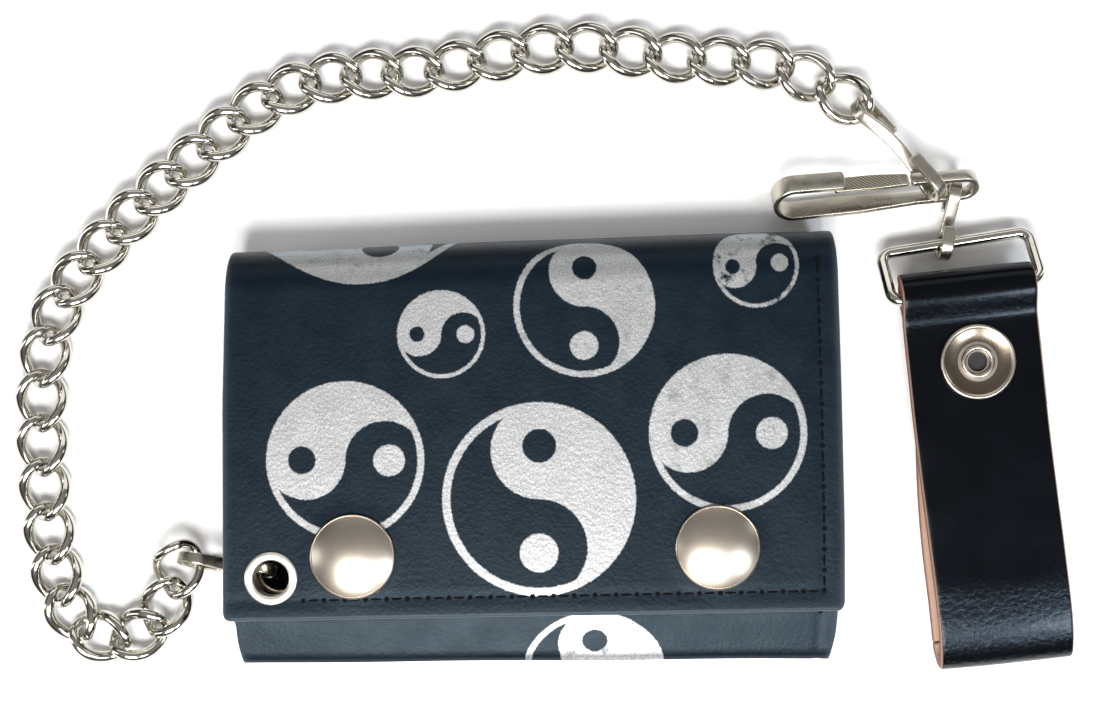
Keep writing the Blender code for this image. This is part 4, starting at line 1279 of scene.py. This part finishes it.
def frontCrease(down):
    # soft bumps near the bar, and a ramp into the fold
    top = sum(strong * bell(down - at, wide) for strong, at, wide in strap["creases"])
    strong, start, run = strap["foldCrease"]
    return np.clip(top + strong * ease((down - start) / run), 0.0, 1.0)


def tailCrease(down):
    return np.full(len(down), strap["tailCrease"])


def bandPiece(name, flat, sway, creaseAt):
    # a flat band whose outer side is glossy and whose inner side is bare flesh
    path = strapTop + flat[:, :1] * strapDown + flat[:, 1:] * upward
    placed, beside, taper, marks = stations(path, strapAcross, strap["spacing"], strap["edge"])
    profile = roundedProfile(strap["wide"], strap["thick"], strap["edge"], across=strap["columns"])
    grid = sweep(placed, beside, sections(profile, 1.0, 0.4 + 0.6 * taper))
    outward = np.cross(unit(np.gradient(placed, axis=0)), beside)
    x, run = np.broadcast_arrays(profile[:, 0], marks[:, None])
    waver = strap["wave"] * (3.0 * np.sin(310.0 * x + 210.0 * run) + 2.0 * np.sin(530.0 * run - 150.0 * x))
    lift = waver - strap["crown"] * (2.0 * x / strap["wide"]) ** 4
    down = (placed - strapTop) @ strapDown
    grid = grid + lift[..., None] * outward[:, None] + sway(down, placed[:, 2])[:, None, None] * strapAcross
    outer = np.clip(profile[:, 1] / (0.5 * strap["thick"]) * 6.0 - 4.6, 0.0, 1.0)
    fromSide = np.clip(0.5 * strap["wide"] - np.abs(profile[:, 0]), 0.0, None)
    rim = np.exp(-fromSide / strap["rimFade"]) * (1.0 - outer)
    piece = gridPiece(name, grid, strapLeather, uv=np.stack([x, run], axis=-1) / sheetUnit,
                      marks={"outer": outer, "rim": rim, "crease": creaseAt(down)[:, None]})
    punch(piece, drill(snapPlace, strap["hole"], -0.005, 0.020, 32))
    return piece


snapPlace = strapTop + strap["snap"] * strapDown
strapFront = bandPiece("strapFront", frontFlat(), frontSway, frontCrease)
strapTail = bandPiece("strapTail", tailFlat(), tailSway, tailCrease)
dress(strapFront, "strap", "strap_leather", "belt_strap")
dress(strapTail, "strap_tail", "strap_leather", "belt_strap_tail")

post = {
    "lift": 0.0001, "bead": 0.00042, "mouth": 0.00255, "mouthBead": 0.00045, "mouthRise": 0.00032,
    "dishFrom": 0.00075, "dishRun": 0.0026, "dishRise": 0.00062, "dishDeep": 0.00048, "well": 0.0010,
    # radius of the stud's head behind the strap and of its flange, and how far above its foot
    "head": [(0.0, 0.0), (0.0012, 0.0), (0.0019, 0.0001), (0.0023, 0.0003), (0.0020, 0.0009),
             (0.0045, 0.0009), (0.0045, 0.00125), (0.00175, 0.00125)],
    "foilFrom": 0.0009, "foilRun": 0.0023, "foilRise": 0.00064, "foil": 0.00012,
    # depth below the strap's face, thickness and radius of a near-black disc in the post's well, which is
    # painted shade
    "shadeDiscDrop": 0.0006, "shadeDiscThick": 0.0002, "shadeDisc": 0.00185,
}
tailCap = {"clear": 0.00015, "rim": 0.0004, "plateRadius": 0.0052, "round": 0.72}
postTop = frontFace + post["lift"]


def dishCurve(start, run, rise, share):
    # radius and height of a dish that falls by a quarter sine towards its middle
    fall = post["dishDeep"] * np.sin(0.5 * np.pi * share)
    return np.stack([turnedBox("strap_snap_stud")[0] - start - run * share, postTop + rise - fall], axis=1)


def postTurning(node):
    # a shallow dish between a rolled rim and the rolled mouth of a tube, over the stud's head
    wide, foot, top = turnedBox(node)
    rolled = arc(wide - post["bead"], postTop + post["bead"], post["bead"], -0.5, 0.75, 14)
    dish = dishCurve(post["dishFrom"], post["dishRun"], post["dishRise"], np.linspace(0.0, 1.0, 14)[1:-1])
    mouth = arc(post["mouth"], postTop + post["mouthRise"], post["mouthBead"], -0.1, 1.0, 14)
    floor = postTop - post["well"]
    well = [(0.0021, postTop - 0.0002), (strap["hole"], floor), (0.0, floor)]
    head = [*((r, foot + rise) for r, rise in post["head"]), (post["head"][-1][0], postTop)]
    return np.concatenate([head, rolled, dish, mouth, well])


def tailCapTurning(node):
    # a socket's collar and plate on the tail's inner side, and a domed cap on its outer side
    wide, foot, top = turnedBox(node)
    base = strap["tailLow"] - tailCap["clear"]
    seat = strap["tailLow"] + strap["thick"] + tailCap["clear"]
    plate = seat + snap["plate"]
    plateRadius = tailCap["plateRadius"]
    edge = base - tailCap["rim"]
    dome = [(wide * math.cos(t) ** tailCap["round"], edge - (edge - foot) * math.sin(t))
            for t in np.linspace(0.0, 0.5 * np.pi, 16)[:-1]]
    collarIn, collarOut, stem = snap["collarIn"], snap["collarOut"], snap["stem"]
    return [(0.0, plate), (collarIn, plate), (collarIn, top), (collarOut, top), (collarOut, plate),
            (plateRadius, plate), (plateRadius, seat), (stem, seat), (stem, base),
            (wide - tailCap["rim"], base), *dome, (0.0, foot)]


dishTop = dishCurve(post["foilFrom"], post["foilRun"], post["foilRise"], np.linspace(0.0, 1.0, 12))
dishRing = np.concatenate([dishTop, dishTop[::-1] - (0.0, post["foil"])])
# a near-black disc laid in the post's well is painted shade, so that the hole looks dark
shadeDiscTop = frontFace - post["shadeDiscDrop"]
shadeDisc = [(0.0, shadeDiscTop - post["shadeDiscThick"]), (post["shadeDisc"] - 0.0001, shadeDiscTop - post["shadeDiscThick"]),
        (post["shadeDisc"], shadeDiscTop), (0.0, shadeDiscTop - 0.00005)]
dress(lathePiece("strapPost", postTurning("strap_snap_stud"), snapPlace, nickel["capNickel"], 96),
      "strap", "nickel", "strap_snap_stud")
dress(lathePiece("strapDish", dishRing, snapPlace, nickel["dishNickel"], 96, closed=True), "strap", "nickel")
dress(lathePiece("strapPostShadeDisc", shadeDisc, snapPlace, lining, 32), "strap", "strap_leather")
dress(lathePiece("strapCap", tailCapTurning("strap_snap_cap"), snapPlace, nickel["capNickel"], 96),
      "strap_tail", "nickel", "strap_snap_cap")
print("strap folded and snapped")


# floor, light and camera

studio = {
    "cameraAt": (0.0031, 0.0155, 0.330),
    "focal": 1795.0,
    "imageWide": 1100.0,
    "floor": (0.86, 0.86, 0.865),
    "floorPale": (0.88, 0.88, 0.885),
    "floorHalf": 3.0,
    "floorZ": -0.0002,
    "skyHigh": (0.38, 0.37, 0.36),
    "skyLow": (0.04, 0.04, 0.043),
    # name, place, size, watts and colour, each lamp aimed at the middle of the floor
    "lamps": [
        ("softBox", (-0.03, -0.25, 0.42), (0.30, 0.22), 4.4, (1.0, 0.985, 0.96)),
        ("rightWindow", (0.30, -0.22, 0.40), (0.13, 0.13), 1.3, (0.86, 0.93, 1.0)),
        ("topFill", (0.0, 0.60, 0.32), (0.90, 0.25), 1.0, (1.0, 1.0, 1.0)),
        ("leftStrip", (-0.80, -0.10, 0.20), (0.20, 0.80), 1.8, (0.97, 0.985, 1.0)),
        ("rightStrip", (0.80, 0.30, 0.16), (0.15, 0.80), 1.0, (1.0, 0.99, 0.98)),
    ],
}


def layFloor():
    half = studio["floorHalf"]
    mesh = bpy.data.meshes.new("floor")
    mesh.from_pydata([(-half, -half, 0.0), (half, -half, 0.0), (half, half, 0.0), (-half, half, 0.0)], [],
                     [(0, 1, 2, 3)])
    finish, tree, shader = newFinish("floorPaper")
    mottle = noise(tree, objectPlace(tree), 40.0)
    paper = mixColour(tree, mottle, studio["floor"], studio["floorPale"])
    fill(tree, shader, {"Base Color": paper, "Roughness": 0.9})
    mesh.materials.append(finish)
    floor = linked("floor", mesh)
    floor.location.z = studio["floorZ"]


def lightSky():
    # pale overhead and dark towards the horizon
    world = bpy.data.worlds.new("studio")
    world.use_nodes = True
    tree = world.node_tree
    sky = put(tree, "ShaderNodeTexCoord").outputs["Generated"]
    rise = spread(tree, put(tree, "ShaderNodeSeparateXYZ", {0: sky}).outputs[2], 0.3, 0.85)
    colour = mixColour(tree, rise, studio["skyLow"], studio["skyHigh"])
    fill(tree, tree.nodes["Background"], {"Color": colour})
    bpy.context.scene.world = world


def hangLamps():
    for name, at, size, power, colour in studio["lamps"]:
        lamp = bpy.data.lights.new(name, "AREA")
        lamp.shape = "RECTANGLE"
        lamp.size, lamp.size_y = size
        lamp.energy = power
        lamp.color = colour
        placed = linked(name, lamp)
        placed.location = at
        placed.rotation_euler = Vector(at).to_track_quat("Z", "Y").to_euler()


def placeCamera():
    view = bpy.data.cameras.new("overhead")
    view.sensor_width = 36.0
    view.lens = view.sensor_width * studio["focal"] / studio["imageWide"]
    view.clip_start = 0.01
    camera = linked("overhead", view)
    camera.location = studio["cameraAt"]
    bpy.context.scene.camera = camera


bpy.context.scene.view_settings.view_transform = "Standard"
layFloor()
lightSky()
hangLamps()
placeCamera()
print("studio lit")
